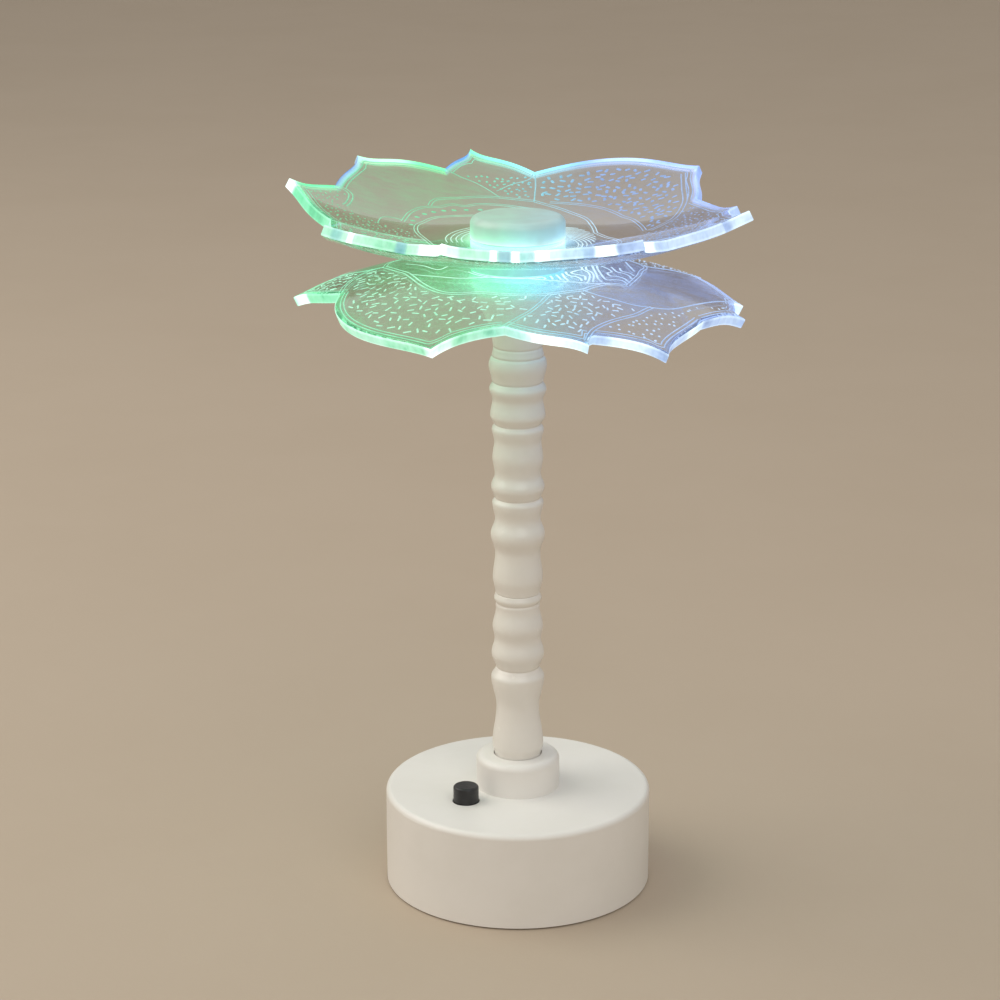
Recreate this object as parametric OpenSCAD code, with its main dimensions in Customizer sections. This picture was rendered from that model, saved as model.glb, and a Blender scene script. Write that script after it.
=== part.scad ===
// Battery LED table lamp: two dished clear lotus plates on a turned column over a round base.
// Millimetres, +Z up. The origin is the middle of the base, on the surface that the feet stand on.

/* [Base] */
// Outside diameter of the base
base_d = 80; // [78:1:100]
// Side wall of the base
base_wall = 2.2; // [1.6:0.1:3]
// Top wall of the base
base_top_t = 2.5; // [2:0.1:4]
// Rounding of the base's upper edge
base_edge_r = 1.6; // [0.6:0.1:2]
// Height of the base's rim over the table
rim_gap = 0.5; // [0.3:0.1:1]
// Diameter of the collar that holds the column
collar_d = 25.2; // [22:0.2:32]
// Height of the collar over the base
collar_h = 10.3; // [7:0.1:16]
// Rounding of the collar's upper edge
collar_edge_r = 2; // [0.5:0.1:3]
// Depth of the shallow seat in the collar for the column's foot
seat_depth = 2; // [1:0.1:4]
// Free gap around the column's foot
seat_gap = 0.3; // [0.2:0.05:0.6]

/* [Bottom cover] */
// Thickness of the bottom cover
cover_t = 2; // [1.8:0.1:3]
// How far the cover lies inside the rim
cover_recess = 0.4; // [0.2:0.1:0.8]
// Free gap around the cover
cover_gap = 0.3; // [0.2:0.05:0.5]
// Wall of the battery tray
tray_wall = 1.5; // [1.2:0.1:2]
// Roof of the battery tray
tray_roof_t = 1.4; // [1:0.1:2]
// Diameter of a rubber foot
foot_d = 7; // [5:0.5:8]
// Height of a rubber foot
foot_h = 1.5; // [1.2:0.1:2]
// Shank diameter of the cover screws
cover_screw_d = 2; // [1.6:0.1:2.4]
// Length of the cover screws under the head
cover_screw_len = 8; // [6:0.5:10]
// Diameter of the cover screws' heads
cover_screw_head_d = 4; // [3.4:0.1:4.6]
// Height of the cover screws' heads
cover_screw_head_h = 1; // [0.6:0.1:1.2]
// Diameter of the screw bosses
boss_d = 6; // [5:0.2:7]

/* [Batteries] */
// Diameter of one cell
cell_d = 10.5; // [10:0.1:11]
// Length of one cell with its button
cell_len = 44.5; // [43.5:0.1:45]
// Diameter of a cell's button
cell_button_d = 3.8; // [3:0.1:4.5]
// Height of a cell's button
cell_button_h = 1.2; // [0.8:0.1:1.6]
// Free gap between neighbouring cells
cell_gap = 0.7; // [0.4:0.1:1]
// Working length of a battery spring
spring_len = 5.6; // [4.5:0.1:6]
// Diameter of the spring wire
spring_wire_d = 0.6; // [0.5:0.05:0.8]
// Turns of a battery spring
spring_turns = 4; // [3:1:5]
// Thickness of the contact plates
contact_t = 0.4; // [0.3:0.05:0.6]
// Ledge around the tray that the door closes against
door_ledge = 1; // [0.8:0.1:1.4]
// Free gap around the door
door_gap = 0.3; // [0.2:0.05:0.4]
// Diameter of the door's hinge pins
door_pin_d = 1.2; // [1:0.1:1.2]
// Length of the door's hinge pins
door_pin_len = 1.6; // [1:0.1:2]
// Diameter of the rubber pad in the middle of the door
pad_d = 14; // [8:0.5:20]
// Depth of the pad's seat in the door
pad_seat = 0.4; // [0.2:0.1:0.6]

/* [Switch and board] */
// Button's place to the right of the middle
button_x = -15.5; // [-17:0.1:-14]
// Button's place behind the middle
button_y = -13.4; // [-14.5:0.1:-12.5]
// Diameter of the button
button_d = 7.6; // [7:0.1:9]
// Height of the button over the base
button_out = 5; // [3:0.1:7]
// Rounding of the button's top edge
button_edge_r = 0.8; // [0.3:0.1:1.2]
// Travel of the button
button_travel = 1.6; // [1:0.1:1.8]
// Free gap around the button
button_gap = 0.3; // [0.2:0.05:0.5]
// Width of the square switch body
switch_w = 7; // [6.6:0.1:8]
// Height of the switch body
switch_h = 8.6; // [8:0.1:10]
// Diameter of the switch's plunger
plunger_d = 3.4; // [3:0.1:3.8]
// Thickness of the control board
board_t = 1.6; // [1.2:0.1:2]
// Width of the control board
board_w = 25; // [24:0.5:26]
// Depth of the control board
board_depth = 20; // [19:0.5:21]
// Free height under the control board
board_clear = 1.7; // [1.5:0.1:2.5]
// Shank diameter of the board screws
board_screw_d = 1.6; // [1.4:0.1:1.8]
// Length of the board screws under the head
board_screw_len = 6; // [5:0.5:7]

/* [Column] */
// Length of the column from the collar to the plate seat
column_len = 146.8; // [140:0.2:170]
// Diameter of the wire bore through the column
wire_bore_d = 5.2; // [4.6:0.1:5.6]
// Diameter of the threaded spigot under the column
spigot_d = 10; // [9:0.5:11]
// Length of the threaded spigot
spigot_len = 17.8; // [17.2:0.2:18.4]
// Diameter of the plug that joins the column's halves
joint_d = 8.4; // [8:0.1:9]
// Length of the plug that joins the column's halves
joint_len = 12; // [8:0.5:16]
// Diameter of the plate seat on top of the column
seat_d = 27; // [24:0.2:28]
// Thickness of the plate seat
seat_t = 3.5; // [2:0.1:5]
// Height of the column nut
nut_h = 5; // [4:0.2:5.4]
// Width of the column nut across its flats
nut_w = 15; // [14:0.2:16]
// Thickness of the washer over the column nut
washer_t = 1; // [0.6:0.1:1.2]

/* [Plates] */
// Thickness of the clear sheet
plate_t = 3; // [2:0.1:4]
// Radius of the dish on its outer face
dish_r = 122; // [110:1:180]
// Radius of the flat hub in the middle of a plate
hub_flat_r = 14.5; // [14.2:0.1:17]
// Diameter of the hole in a plate
plate_bore_d = 20; // [18.6:0.1:21]
// Reach of the longest petal from the middle
petal_reach = 72; // [62:0.5:84]
// Extra reach of the small point on each petal
petal_nib = 3; // [1:0.25:4]
// Free play on each side of a plate
plate_play = 0.1; // [0.05:0.01:0.2]
// Height of the spacer between the plates
spacer_h = 5; // [4:0.1:8]

/* [Light head] */
// Diameter of the threaded tube
tube_d = 8; // [7.4:0.1:8.4]
// Depth of the threaded tube in the column
tube_depth = 12; // [8:0.5:14]
// Diameter of the LED carrier
carrier_d = 12; // [11.6:0.1:12.4]
// Thickness of the flexible LED strip
strip_t = 0.3; // [0.2:0.05:0.4]
// LEDs in each row
led_count = 6; // [3:1:8]
// Width of one LED
led_w = 3.2; // [2.6:0.1:3.4]
// Height of one LED
led_h = 2.6; // [2:0.1:2.8]
// Thickness of one LED
led_t = 1.5; // [1:0.1:1.6]
// Wall of the clear tube around the LEDs
lens_wall = 1; // [0.6:0.05:1.1]
// Radius of one lead
lead_r = 0.55; // [0.4:0.05:0.6]

/* [Cap] */
// Diameter of the cap
cap_d = 27.4; // [24:0.2:28.2]
// Height of the cap
cap_h = 6.3; // [5.5:0.1:10]
// Rounding of the cap's upper edge
cap_edge_r = 2.2; // [0.5:0.1:2.6]
// Diameter of the brass insert in the cap
insert_d = 11.2; // [10.4:0.1:13]
// Height of the brass insert
insert_h = 4.4; // [3:0.1:4.6]
// Diameter of the soft washer under the cap
soft_washer_d = 25.6; // [22.5:0.2:26]
// Thickness of the soft washer
soft_washer_t = 0.5; // [0.3:0.05:1]

/* [Hidden] */
// Fits: a running fit on radius and a small seat gap
fit = 0.05;
touch = 0.05;
cut = 1;
$fn = 120;

// Heights in the base, from the table up
cover_z = rim_gap + cover_recess;
cover_top = cover_z + cover_t;
cell_z = cover_top + cell_gap / 4 + cell_d / 2;
tray_h = cell_d + cell_gap / 2;
tray_top = cover_top + tray_h + tray_roof_t;
board_z = tray_top + board_clear;
board_top = board_z + board_t;
base_in_top = board_top + switch_h + button_gap;
base_h = base_in_top + base_top_t;
collar_top = base_h + collar_h;
foot_seat = collar_top - seat_depth;
spigot_z = foot_seat - spigot_len;
base_in_r = base_d / 2 - base_wall;
cover_r = base_in_r - cover_gap;

// Battery tray and door, from the cells
cell_pitch = cell_d + cell_gap;
tray_len = cell_len + spring_len + 2 * contact_t + 2 * touch;
tray_w = 3 * cell_pitch;
contact_x = tray_len / 2 - contact_t / 2;
door_len = tray_len + 2 * door_ledge;
door_w = tray_w + 2 * door_ledge;
door_t = cover_t - door_gap / 2;
door_x = -door_len / 2 + door_t / 2;
door_z = cover_z + door_t / 2;
tag_w = 3;
tag_hole = 0.4;
notch_r = 6;
contact_inset = 0.6;
contact_h = tray_h - 1.5 * contact_inset;
contact_w = cell_d - 2.5 * contact_inset;
spring_wide_r = 3.6;
spring_tip_r = 2.4;
coil_steps = 12;
wire_sides = 6;

// Fasteners on circles that follow the base
boss_edge_gap = 0.6;
boss_circle_r = base_in_r - boss_d / 2 - boss_edge_gap;
boss_angles = [65, 115, 245, 295];
foot_edge_gap = 2.3;
foot_door_gap = 1;
foot_circle_r = cover_r - foot_d / 2 - foot_edge_gap;
foot_y = door_w / 2 + door_gap + foot_door_gap + foot_d / 2;
foot_angle = asin(foot_y / foot_circle_r);
foot_angles = [foot_angle, 180 - foot_angle, 180 + foot_angle, -foot_angle];
head_gap = 0.1;
slot_len = 2.2;
slot_w = 0.5;
screw_end_gap = 0.5;
washer_over = 3;

// Control board, placed from the button
board_shift = [1, 0.4];
board_x = button_x + board_shift[0];
board_y = button_y + board_shift[1];
board_corner = 2.8;
board_boss_d = 4.8;
board_head_d = 3;
board_head_h = 1.2;
board_screw_corners = [[-1, 1], [1, -1]];
chip_at = [6.5, 3.5];
chip_size = [5, 4, 1.4];
chip_lift = 0.2;
pin_pitch = 1.27;
pin_out = 0.4;
pin_size = [0.4, 1, 0.6];
resistor_at = [-9, -7.5];
resistor_size = [1.2, 2, 0.6];
resistor_pitch = 2.4;
capacitor_at = [3.5, -6.5];
capacitor_d = 4;
capacitor_h = 5;

// Inside the switch
plunger_flange_d = 4.6;
plunger_flange_h = 1.8;
switch_room_d = 5.4;
switch_lid_t = 2;
switch_floor_t = 1;
switch_spring_r = 1.8;
switch_wire_r = 0.25;
switch_spring_turns = 4;
lid_gap = 0.4;
stop_gap = 0.2;
button_roof_t = 2;
plunger_top = base_h + button_out - button_roof_t;
flange_top = board_top + switch_h - switch_lid_t - lid_gap;
button_z = board_top + switch_h + button_travel + stop_gap;

// Column: height over the collar and radius at each bead, waist and groove
lower_turning = [[0, 7.0], [3, 7.7], [15.3, 6.45], [24.7, 8], [27.7, 6.6], [32.2, 7.9], [36.9, 6.95],
    [40.7, 7.55], [46.3, 6.55], [48.2, 6.65], [49.7, 7.1], [51.3, 6.65]];
upper_turning = [[51.3, 6.65], [56, 7.45], [63.9, 6.7], [69.6, 8.05], [74.4, 6.75], [79.4, 7.6],
    [80.8, 6.95], [84.3, 7.9], [88.1, 6.8], [93.2, 7.5], [97.9, 6.9], [101.9, 7.65], [103.3, 7.05],
    [106.1, 8.1], [110.5, 7.4], [114, 8.35], [116, 7.55], [121.1, 8.5], [126.1, 7.25], [131.5, 7.6]];
turning_steps = 4;
foot_r = lower_turning[0][1];
split_z = collar_top + upper_turning[0][0];
seat_z = collar_top + column_len;

// Plates: one row a petal, with valley angle and radius, tip angle and radius, and both flanks' swell,
// drawn for a reach of 72 and resized by petal_scale
upper_petals = [
    [332, 61, 341, 68, 0, 0], [349.5, 61, 358, 62.5, 0, -0.5], [382, 56.5, 398.5, 69.5, 0.5, 5.5],
    [445, 59, 462, 70.5, 1.5, 1], [471, 62, 492.5, 72, 2.5, 0.5], [510.5, 62, 522.5, 70, 0, 0],
    [544.5, 53.5, 582, 70, -3.5, 1.5], [602.5, 63.5, 612.5, 67, 0.5, 0], [630, 60.5, 660, 66.5, 1.5, 0],
    [672, 60, 684, 68.5, 1, 0]
];
lower_petals = [
    [350.5, 63, 358, 65, 0, -0.5], [382, 58, 402, 69, 2, 3.5], [436, 57, 458, 68, 2.5, 0.5],
    [472, 58.5, 495, 69.5, 2.5, 0], [517, 59.5, 528.5, 67.2, 0.5, 0.5], [550, 51.5, 608, 62.8, 4, -1.5],
    [626, 50.5, 648.5, 60.5, 1, 0], [651.5, 56.5, 667, 68, -1, -0.5], [690, 60, 706, 66.5, -0.5, 0]
];
drawn_reach = max([for (p = upper_petals) p[3]]);
petal_scale = petal_reach / drawn_reach;
flank_steps = 8;
nib_power = 8;
lower_plate_z = seat_z + plate_play;
spacer_z = lower_plate_z + plate_t + plate_play;
upper_plate_z = spacer_z + spacer_h + plate_play;
stack_top = upper_plate_z + plate_t;
// Slopes of the dish in degrees, from the flat hub out, in finer steps near the petals' tips
dish_slopes = [for (a = [0 : 6 : 18]) a, for (a = [19.5 : 1.5 : 31.5]) a];
dish_height = 30;
// Height at which the petals' edges, which are square to the sheet, would meet
edge_apex = 1.2 * dish_r;

// Light head inside the plates' holes
tube_z = seat_z - tube_depth;
soft_washer_z = stack_top + plate_play;
cap_z = soft_washer_z + soft_washer_t;
head_h = stack_top - plate_play - seat_z;
insert_recess = 0.2;
insert_z = cap_z + insert_recess;
tube_top = insert_z + insert_h;
strip_r = carrier_d / 2 + touch;
led_r = strip_r + strip_t + touch;
lens_r = plate_bore_d / 2 - fit;
led_rows = [lower_plate_z + plate_t / 2, upper_plate_z + plate_t / 2];
lead_exit_z = spacer_z + spacer_h / 2;
lead_hole_gap = 0.35;
lead_hole_r = lead_r + lead_hole_gap;
lead_x = 1;
lead_sides = 8;

// Lead routes, by hand
hop = 0.7;
lift = 1;
lead_rise = 1.2;
lead_bend = 1;
lead_ease = 0.3;
red_route = [[-4, -4.5, board_top], [-4, -4.5, board_top + hop / 2], [-3.6, -3.9, board_top + hop],
    [-1.4, -0.6, board_top + hop], [-lead_x, 0, board_top + lead_rise],
    [-lead_x, 0, lead_exit_z - lead_bend], [-lead_x - lead_ease, 0, lead_exit_z - lead_ease],
    [-lead_x - lead_bend, 0, lead_exit_z], [-carrier_d / 2, 0, lead_exit_z]];
black_route = [[-2.8, -8, board_top], [-2.8, -8, board_top + hop / 2], [-2.4, -7.4, board_top + hop],
    [0.6, -1.2, board_top + hop], [lead_x, 0, board_top + lead_rise],
    [lead_x, 0, lead_exit_z - lead_bend], [lead_x + lead_ease, 0, lead_exit_z - lead_ease],
    [lead_x + lead_bend, 0, lead_exit_z], [carrier_d / 2, 0, lead_exit_z]];
battery_route = [[contact_x, cell_pitch, board_z], [contact_x, cell_pitch, board_z + 1.5 * lift],
    [contact_x - hop, cell_pitch - lift, board_top + lift], [14, -6, board_top + lift],
    [5, -14, board_top + lift], [-3, -15.5, board_top + lift], [-4.4, -15.5, board_top + hop],
    [-4.8, -15.5, board_top + hop / 2], [-4.8, -15.5, board_top]];

// Smooth turning between two knots
function eased(a, b, t) = (a + b) / 2 + (a - b) / 2 * cos(180 * t);
function turned(knots) = [
    for (i = [0 : len(knots) - 2], j = [0 : turning_steps - 1])
        let (a = knots[i], b = knots[i + 1], t = j / turning_steps)
        [eased(a[1], b[1], t), collar_top + a[0] + t * (b[0] - a[0])],
    [knots[len(knots) - 1][1], collar_top + knots[len(knots) - 1][0]]
];

// One flank of a petal: radius from the valley (t = 0) to the tip (t = 1)
function flank(valley, tip, swell, t) =
    let (nib = petal_nib / petal_scale)
    petal_scale * (valley + (tip - valley - nib) * t + swell * sin(180 * t) + nib * pow(t, nib_power));
// A petal's radius on the given face of the dish, carried down its edge to the foot of the dish
function dish_lift(radius, face_r) = dish_r - sqrt(pow(face_r, 2) - pow(max(radius - hub_flat_r, 0), 2));
function on_edge(angle, radius, face_r) =
    radius / (1 - dish_lift(radius, face_r) / edge_apex) * [cos(angle), sin(angle)];
function petal_outline(petals, face_r) = [
    for (i = [0 : len(petals) - 1])
        let (p = petals[i], last = i == len(petals) - 1, q = petals[last ? 0 : i + 1])
        let (next_angle = last ? q[0] + 360 : q[0])
        each [
            for (k = [0 : flank_steps - 1])
                let (t = k / flank_steps)
                on_edge(p[0] + (p[2] - p[0]) * t, flank(p[1], p[3], p[4], t), face_r),
            for (k = [0 : flank_steps - 1])
                let (t = 1 - k / flank_steps)
                on_edge(next_angle + (p[2] - next_angle) * t, flank(q[1], p[3], p[5], t), face_r)
        ]
];

// One face of the dish in section, and a list the other way round
function dish_arc(r) = [for (a = dish_slopes) [hub_flat_r + r * sin(a), dish_r - r * cos(a)]];
function reversed(p) = [for (i = [len(p) - 1 : -1 : 0]) p[i]];

// A tube swept along points; side gives the direction that the first corner of each ring leans to
function unit(v) = v / norm(v);
function along(p, i) = unit(p[min(i + 1, len(p) - 1)] - p[max(i - 1, 0)]);
function ring(p, i, r, sides, side) =
    let (t = along(p, i), n = unit(cross(side, t)), b = cross(t, n))
    [for (k = [0 : sides - 1]) p[i] + r * (n * cos(360 * k / sides) + b * sin(360 * k / sides))];
module swept_tube(p, r, sides, side) {
    last = len(p) - 1;
    corners = [for (i = [0 : last]) each ring(p, i, r, sides, side)];
    walls = [for (i = [0 : last - 1], k = [0 : sides - 1])
        let (a = i * sides + k, b = i * sides + (k + 1) % sides)
        each [[a, a + sides, b], [b, a + sides, b + sides]]];
    ends = [[for (k = [0 : sides - 1]) k], [for (k = [sides - 1 : -1 : 0]) last * sides + k]];
    polyhedron(corners, concat(walls, ends), convexity = 4);
}
function coil(r0, r1, h, turns) = [
    for (i = [0 : coil_steps * turns])
        let (t = i / (coil_steps * turns), r = r0 + (r1 - r0) * t, a = 360 * i / coil_steps)
        [r * cos(a), r * sin(a), h * t]
];

// Shared shapes
module rounded_disc(r, h, edge) {
    rotate_extrude() {
        square([r - edge, h]);
        square([r, h - edge]);
        translate([r - edge, h - edge]) intersection() {
            circle(edge);
            square(edge);
        }
    }
}
module around(angles, radius) {
    for (a = angles) rotate([0, 0, a]) translate([radius, 0, 0]) children();
}
module at_board_screws() {
    reach_x = board_w / 2 - board_corner;
    reach_y = board_depth / 2 - board_corner;
    for (s = board_screw_corners)
        translate([board_x + s[0] * reach_x, board_y + s[1] * reach_y, 0]) children();
}
module block(x, y, z, w, d, h) {
    translate([x - w / 2, y - d / 2, z]) cube([w, d, h]);
}
module ring_of(outer_d, inner_d, z, h) {
    translate([0, 0, z]) difference() {
        cylinder(d = outer_d, h = h);
        translate([0, 0, -cut]) cylinder(d = inner_d, h = h + 2 * cut);
    }
}
module each_cell() {
    for (i = [-1 : 1])
        translate([0, i * cell_pitch, cell_z]) mirror([i == 0 ? 1 : 0, 0, 0]) children();
}

// Base
module base_shell() color("white") {
    boss_len = base_in_top - cover_top + cut;
    board_hole = board_screw_len - board_t + screw_end_gap;
    difference() {
        union() {
            translate([0, 0, rim_gap]) rounded_disc(base_d / 2, base_h - rim_gap, base_edge_r);
            translate([0, 0, base_h - cut]) rounded_disc(collar_d / 2, collar_h + cut, collar_edge_r);
        }
        translate([0, 0, rim_gap - cut]) cylinder(r = base_in_r, h = base_in_top - rim_gap + cut);
        translate([0, 0, foot_seat]) cylinder(r = foot_r + seat_gap, h = seat_depth + cut);
        translate([0, 0, base_in_top - cut]) cylinder(d = spigot_d + 2 * fit, h = collar_top);
        translate([button_x, button_y, base_in_top - cut])
            cylinder(d = button_d + 2 * button_gap, h = base_top_t + 2 * cut);
    }
    around(boss_angles, boss_circle_r) translate([0, 0, cover_top]) difference() {
        cylinder(d = boss_d, h = boss_len);
        translate([0, 0, -cut]) cylinder(d = cover_screw_d + 2 * fit, h = cover_screw_len + cut);
    }
    at_board_screws() translate([0, 0, board_top]) difference() {
        cylinder(d = board_boss_d, h = base_in_top - board_top + cut);
        translate([0, 0, -cut]) cylinder(d = board_screw_d + 2 * fit, h = board_hole + cut);
    }
}
module bottom_cover() color("white") difference() {
    union() {
        translate([0, 0, cover_z]) cylinder(r = cover_r, h = cover_t);
        block(0, 0, cover_z, tray_len + 2 * tray_wall, tray_w + 2 * tray_wall, tray_top - cover_z);
    }
    block(0, 0, cover_z - cut, door_len + 2 * door_gap, door_w + 2 * door_gap, cover_t + cut);
    block(0, 0, cover_z, tray_len, tray_w, cover_t + tray_h);
    translate([door_x, 0, door_z]) rotate([90, 0, 0])
        cylinder(d = door_pin_d + 2 * fit, h = door_w + 2 * door_gap + 2 * door_pin_len, center = true);
    around(foot_angles, foot_circle_r) translate([0, 0, cover_z - cut])
        cylinder(d = foot_d + 2 * head_gap, h = foot_h - cover_z + cut);
    around(boss_angles, boss_circle_r) {
        translate([0, 0, cover_z - cut])
            cylinder(d = cover_screw_head_d + 2 * head_gap, h = cover_screw_head_h + head_gap + cut);
        translate([0, 0, cover_z - cut]) cylinder(d = cover_screw_d + 4 * head_gap, h = cover_t + 2 * cut);
    }
    for (s = [-1, 1])
        block(s * contact_x, s * cell_pitch, cover_top, contact_t + tag_hole, tag_w + tag_hole, tray_top);
}
module cover_screws() color("silver") around(boss_angles, boss_circle_r) {
    translate([0, 0, cover_z + head_gap]) difference() {
        cylinder(d = cover_screw_head_d, h = cover_screw_head_h);
        for (turn = [0, 90]) rotate([0, 0, turn]) block(0, 0, -cut, slot_len, slot_w, cut + slot_w);
    }
    translate([0, 0, cover_z + head_gap + cover_screw_head_h / 2])
        cylinder(d = cover_screw_d, h = cover_screw_head_h / 2 + cover_screw_len);
}
module rubber_feet() color("dimgray") around(foot_angles, foot_circle_r) cylinder(d = foot_d, h = foot_h);
module battery_door() color("white") {
    pin_len = door_pin_len + door_gap;
    difference() {
        union() {
            translate([door_x, -door_w / 2, cover_z]) cube([door_len / 2 - door_x, door_w, door_t]);
            translate([door_x, 0, door_z]) rotate([90, 0, 0])
                cylinder(d = door_t, h = door_w, center = true);
        }
        translate([door_len / 2, 0, cover_z - cut]) cylinder(r = notch_r, h = cut + door_t / 2);
        translate([0, 0, cover_z - cut]) cylinder(d = pad_d + 2 * head_gap, h = cut + pad_seat);
    }
    for (s = [-1, 1])
        translate([door_x, s * (door_w + pin_len - cut) / 2, door_z])
            rotate([90, 0, 0]) cylinder(d = door_pin_d, h = pin_len + cut - touch, center = true);
}
module door_pad() color("dimgray") cylinder(d = pad_d, h = cover_z + pad_seat);

// Batteries
module battery_cells() color("gold") each_cell() {
    nub_x = -tray_len / 2 + contact_t + touch;
    translate([nub_x + cell_button_h, 0, 0]) rotate([0, 90, 0])
        cylinder(d = cell_d, h = cell_len - cell_button_h);
    translate([nub_x, 0, 0]) rotate([0, 90, 0]) cylinder(d = cell_button_d, h = cell_button_h + cut);
}
module battery_springs() color("silver") each_cell() {
    gap = spring_wire_d / 2 + touch;
    path = coil(spring_wide_r, spring_tip_r, spring_len - 2 * gap, spring_turns);
    translate([tray_len / 2 - contact_t - gap, 0, 0]) rotate([0, -90, 0])
        swept_tube(path, spring_wire_d / 2, wire_sides, [0, 0, 1]);
}
module contact_plates() color("silver") {
    contact_z = cover_top + contact_inset;
    for (s = [-1, 1]) {
        block(s * contact_x, s * cell_pitch, contact_z, contact_t, contact_w, contact_h);
        block(s * contact_x, s * cell_pitch, cell_z, contact_t, tag_w, board_z - cell_z);
        block(s * contact_x, -s * cell_pitch / 2, contact_z, contact_t, contact_w + cell_pitch, contact_h);
    }
}
module battery_lead() color("black") swept_tube(battery_route, lead_r, lead_sides, [0.2, 0.3, 1]);

// Switch and board
module control_board() color("darkgreen") difference() {
    block(board_x, board_y, board_z, board_w, board_depth, board_t);
    at_board_screws() translate([0, 0, board_z - cut])
        cylinder(d = board_screw_d + 2 * head_gap, h = board_t + 2 * cut);
}
module driver_chip() color("black") {
    x = board_x + chip_at[0];
    y = board_y + chip_at[1];
    block(x, y, board_top + chip_lift, chip_size[0], chip_size[1], chip_size[2]);
    for (s = [-1, 1], i = [-1.5 : 1.5])
        translate([x + i * pin_pitch, y + s * (chip_size[1] / 2 + pin_out), board_top])
            block(0, 0, 0, pin_size[0], pin_size[1], pin_size[2]);
}
module board_resistors() color("tan") {
    x = board_x + resistor_at[0];
    y = board_y + resistor_at[1];
    for (i = [0 : 2])
        block(x + i * resistor_pitch, y, board_top, resistor_size[0], resistor_size[1], resistor_size[2]);
}
module board_capacitor() color("steelblue")
    translate([board_x + capacitor_at[0], board_y + capacitor_at[1], board_top])
        cylinder(d = capacitor_d, h = capacitor_h);
module board_screws() color("silver") at_board_screws() translate([0, 0, board_z]) {
    translate([0, 0, -board_head_h]) cylinder(d = board_head_d, h = board_head_h);
    translate([0, 0, -board_head_h / 2])
        cylinder(d = board_screw_d, h = board_head_h / 2 + board_screw_len);
}
module switch_body() color("dimgray") difference() {
    block(button_x, button_y, board_top, switch_w, switch_w, switch_h);
    translate([button_x, button_y, board_top + switch_floor_t])
        cylinder(d = switch_room_d, h = switch_h - switch_floor_t - switch_lid_t);
    translate([button_x, button_y, board_top + switch_floor_t])
        cylinder(d = plunger_d + 2 * fit, h = switch_h + cut);
}
module switch_spring() color("silver") {
    floor_z = board_top + switch_floor_t;
    gap = switch_wire_r + touch;
    spring_h = flange_top - plunger_flange_h - floor_z - 2 * gap;
    path = coil(switch_spring_r, switch_spring_r, spring_h, switch_spring_turns);
    translate([button_x, button_y, floor_z + gap]) swept_tube(path, switch_wire_r, wire_sides, [0, 0, 1]);
}
module switch_plunger() color("ivory") translate([button_x, button_y, flange_top - plunger_flange_h]) {
    cylinder(d = plunger_flange_d, h = plunger_flange_h);
    cylinder(d = plunger_d, h = plunger_top - flange_top + plunger_flange_h);
}
module button_cap() color("black") translate([button_x, button_y, button_z]) difference() {
    rounded_disc(button_d / 2, base_h + button_out - button_z, button_edge_r);
    translate([0, 0, -cut]) cylinder(d = plunger_d + 2 * fit, h = plunger_top - button_z + touch + cut);
}

// Column
module column_lower() color("white") difference() {
    foot = [[0, foot_seat], [foot_r, foot_seat]];
    union() {
        rotate_extrude() polygon(concat(foot, turned(lower_turning), [[0, split_z]]));
        translate([0, 0, spigot_z]) cylinder(d = spigot_d, h = spigot_len + cut);
    }
    translate([0, 0, spigot_z - cut]) cylinder(d = wire_bore_d, h = split_z);
    translate([0, 0, split_z - joint_len]) cylinder(d = joint_d + 2 * fit, h = joint_len + cut);
}
module column_upper() color("white") difference() {
    flare = [[seat_d / 2, seat_z - seat_t], [seat_d / 2, seat_z], [0, seat_z]];
    union() {
        rotate_extrude() polygon(concat([[0, split_z]], turned(upper_turning), flare));
        translate([0, 0, split_z - joint_len + touch]) cylinder(d = joint_d, h = joint_len);
    }
    translate([0, 0, split_z - joint_len - cut]) cylinder(d = wire_bore_d, h = column_len);
    translate([0, 0, tube_z]) cylinder(d = tube_d + 2 * fit, h = tube_depth + cut);
}
module column_nut() color("silver") translate([0, 0, base_in_top - washer_t - nut_h]) difference() {
    cylinder(d = nut_w / cos(30), h = nut_h, $fn = 6);
    translate([0, 0, -cut]) cylinder(d = spigot_d + 2 * fit, h = nut_h + 2 * cut);
}
module column_washer() color("silver")
    ring_of(nut_w + washer_over, spigot_d + 4 * fit, base_in_top - washer_t, washer_t);

// Light head
module lead_hole(d) {
    translate([0, 0, lead_exit_z]) rotate([0, 90, 0]) cylinder(r = lead_hole_r, h = d + cut, center = true);
}
module threaded_tube() color("silver") difference() {
    ring_of(tube_d, wire_bore_d, tube_z + touch, tube_top - tube_z - touch);
    lead_hole(tube_d);
}
module lead_red() color("red") swept_tube(red_route, lead_r, lead_sides, [0.1, 1, 0.1]);
module lead_black() color("black") swept_tube(black_route, lead_r, lead_sides, [0.1, 1, 0.1]);
module led_carrier() color("whitesmoke") difference() {
    ring_of(carrier_d, tube_d + 2 * fit, seat_z, head_h);
    lead_hole(carrier_d);
}
module led_strip() color("white") ring_of(2 * (strip_r + strip_t), 2 * strip_r, seat_z, head_h);
module led_row(z)
    for (i = [0 : led_count - 1]) rotate([0, 0, 360 / led_count * (i + 0.5)])
        translate([led_r, -led_w / 2, z - led_h / 2]) cube([led_t, led_w, led_h]);
module leds_lower() color("aquamarine") led_row(led_rows[0]);
module leds_upper() color("aquamarine") led_row(led_rows[1]);
module lens_tube() color("azure", 0.5) ring_of(2 * lens_r, 2 * (lens_r - lens_wall), seat_z, head_h);

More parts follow.
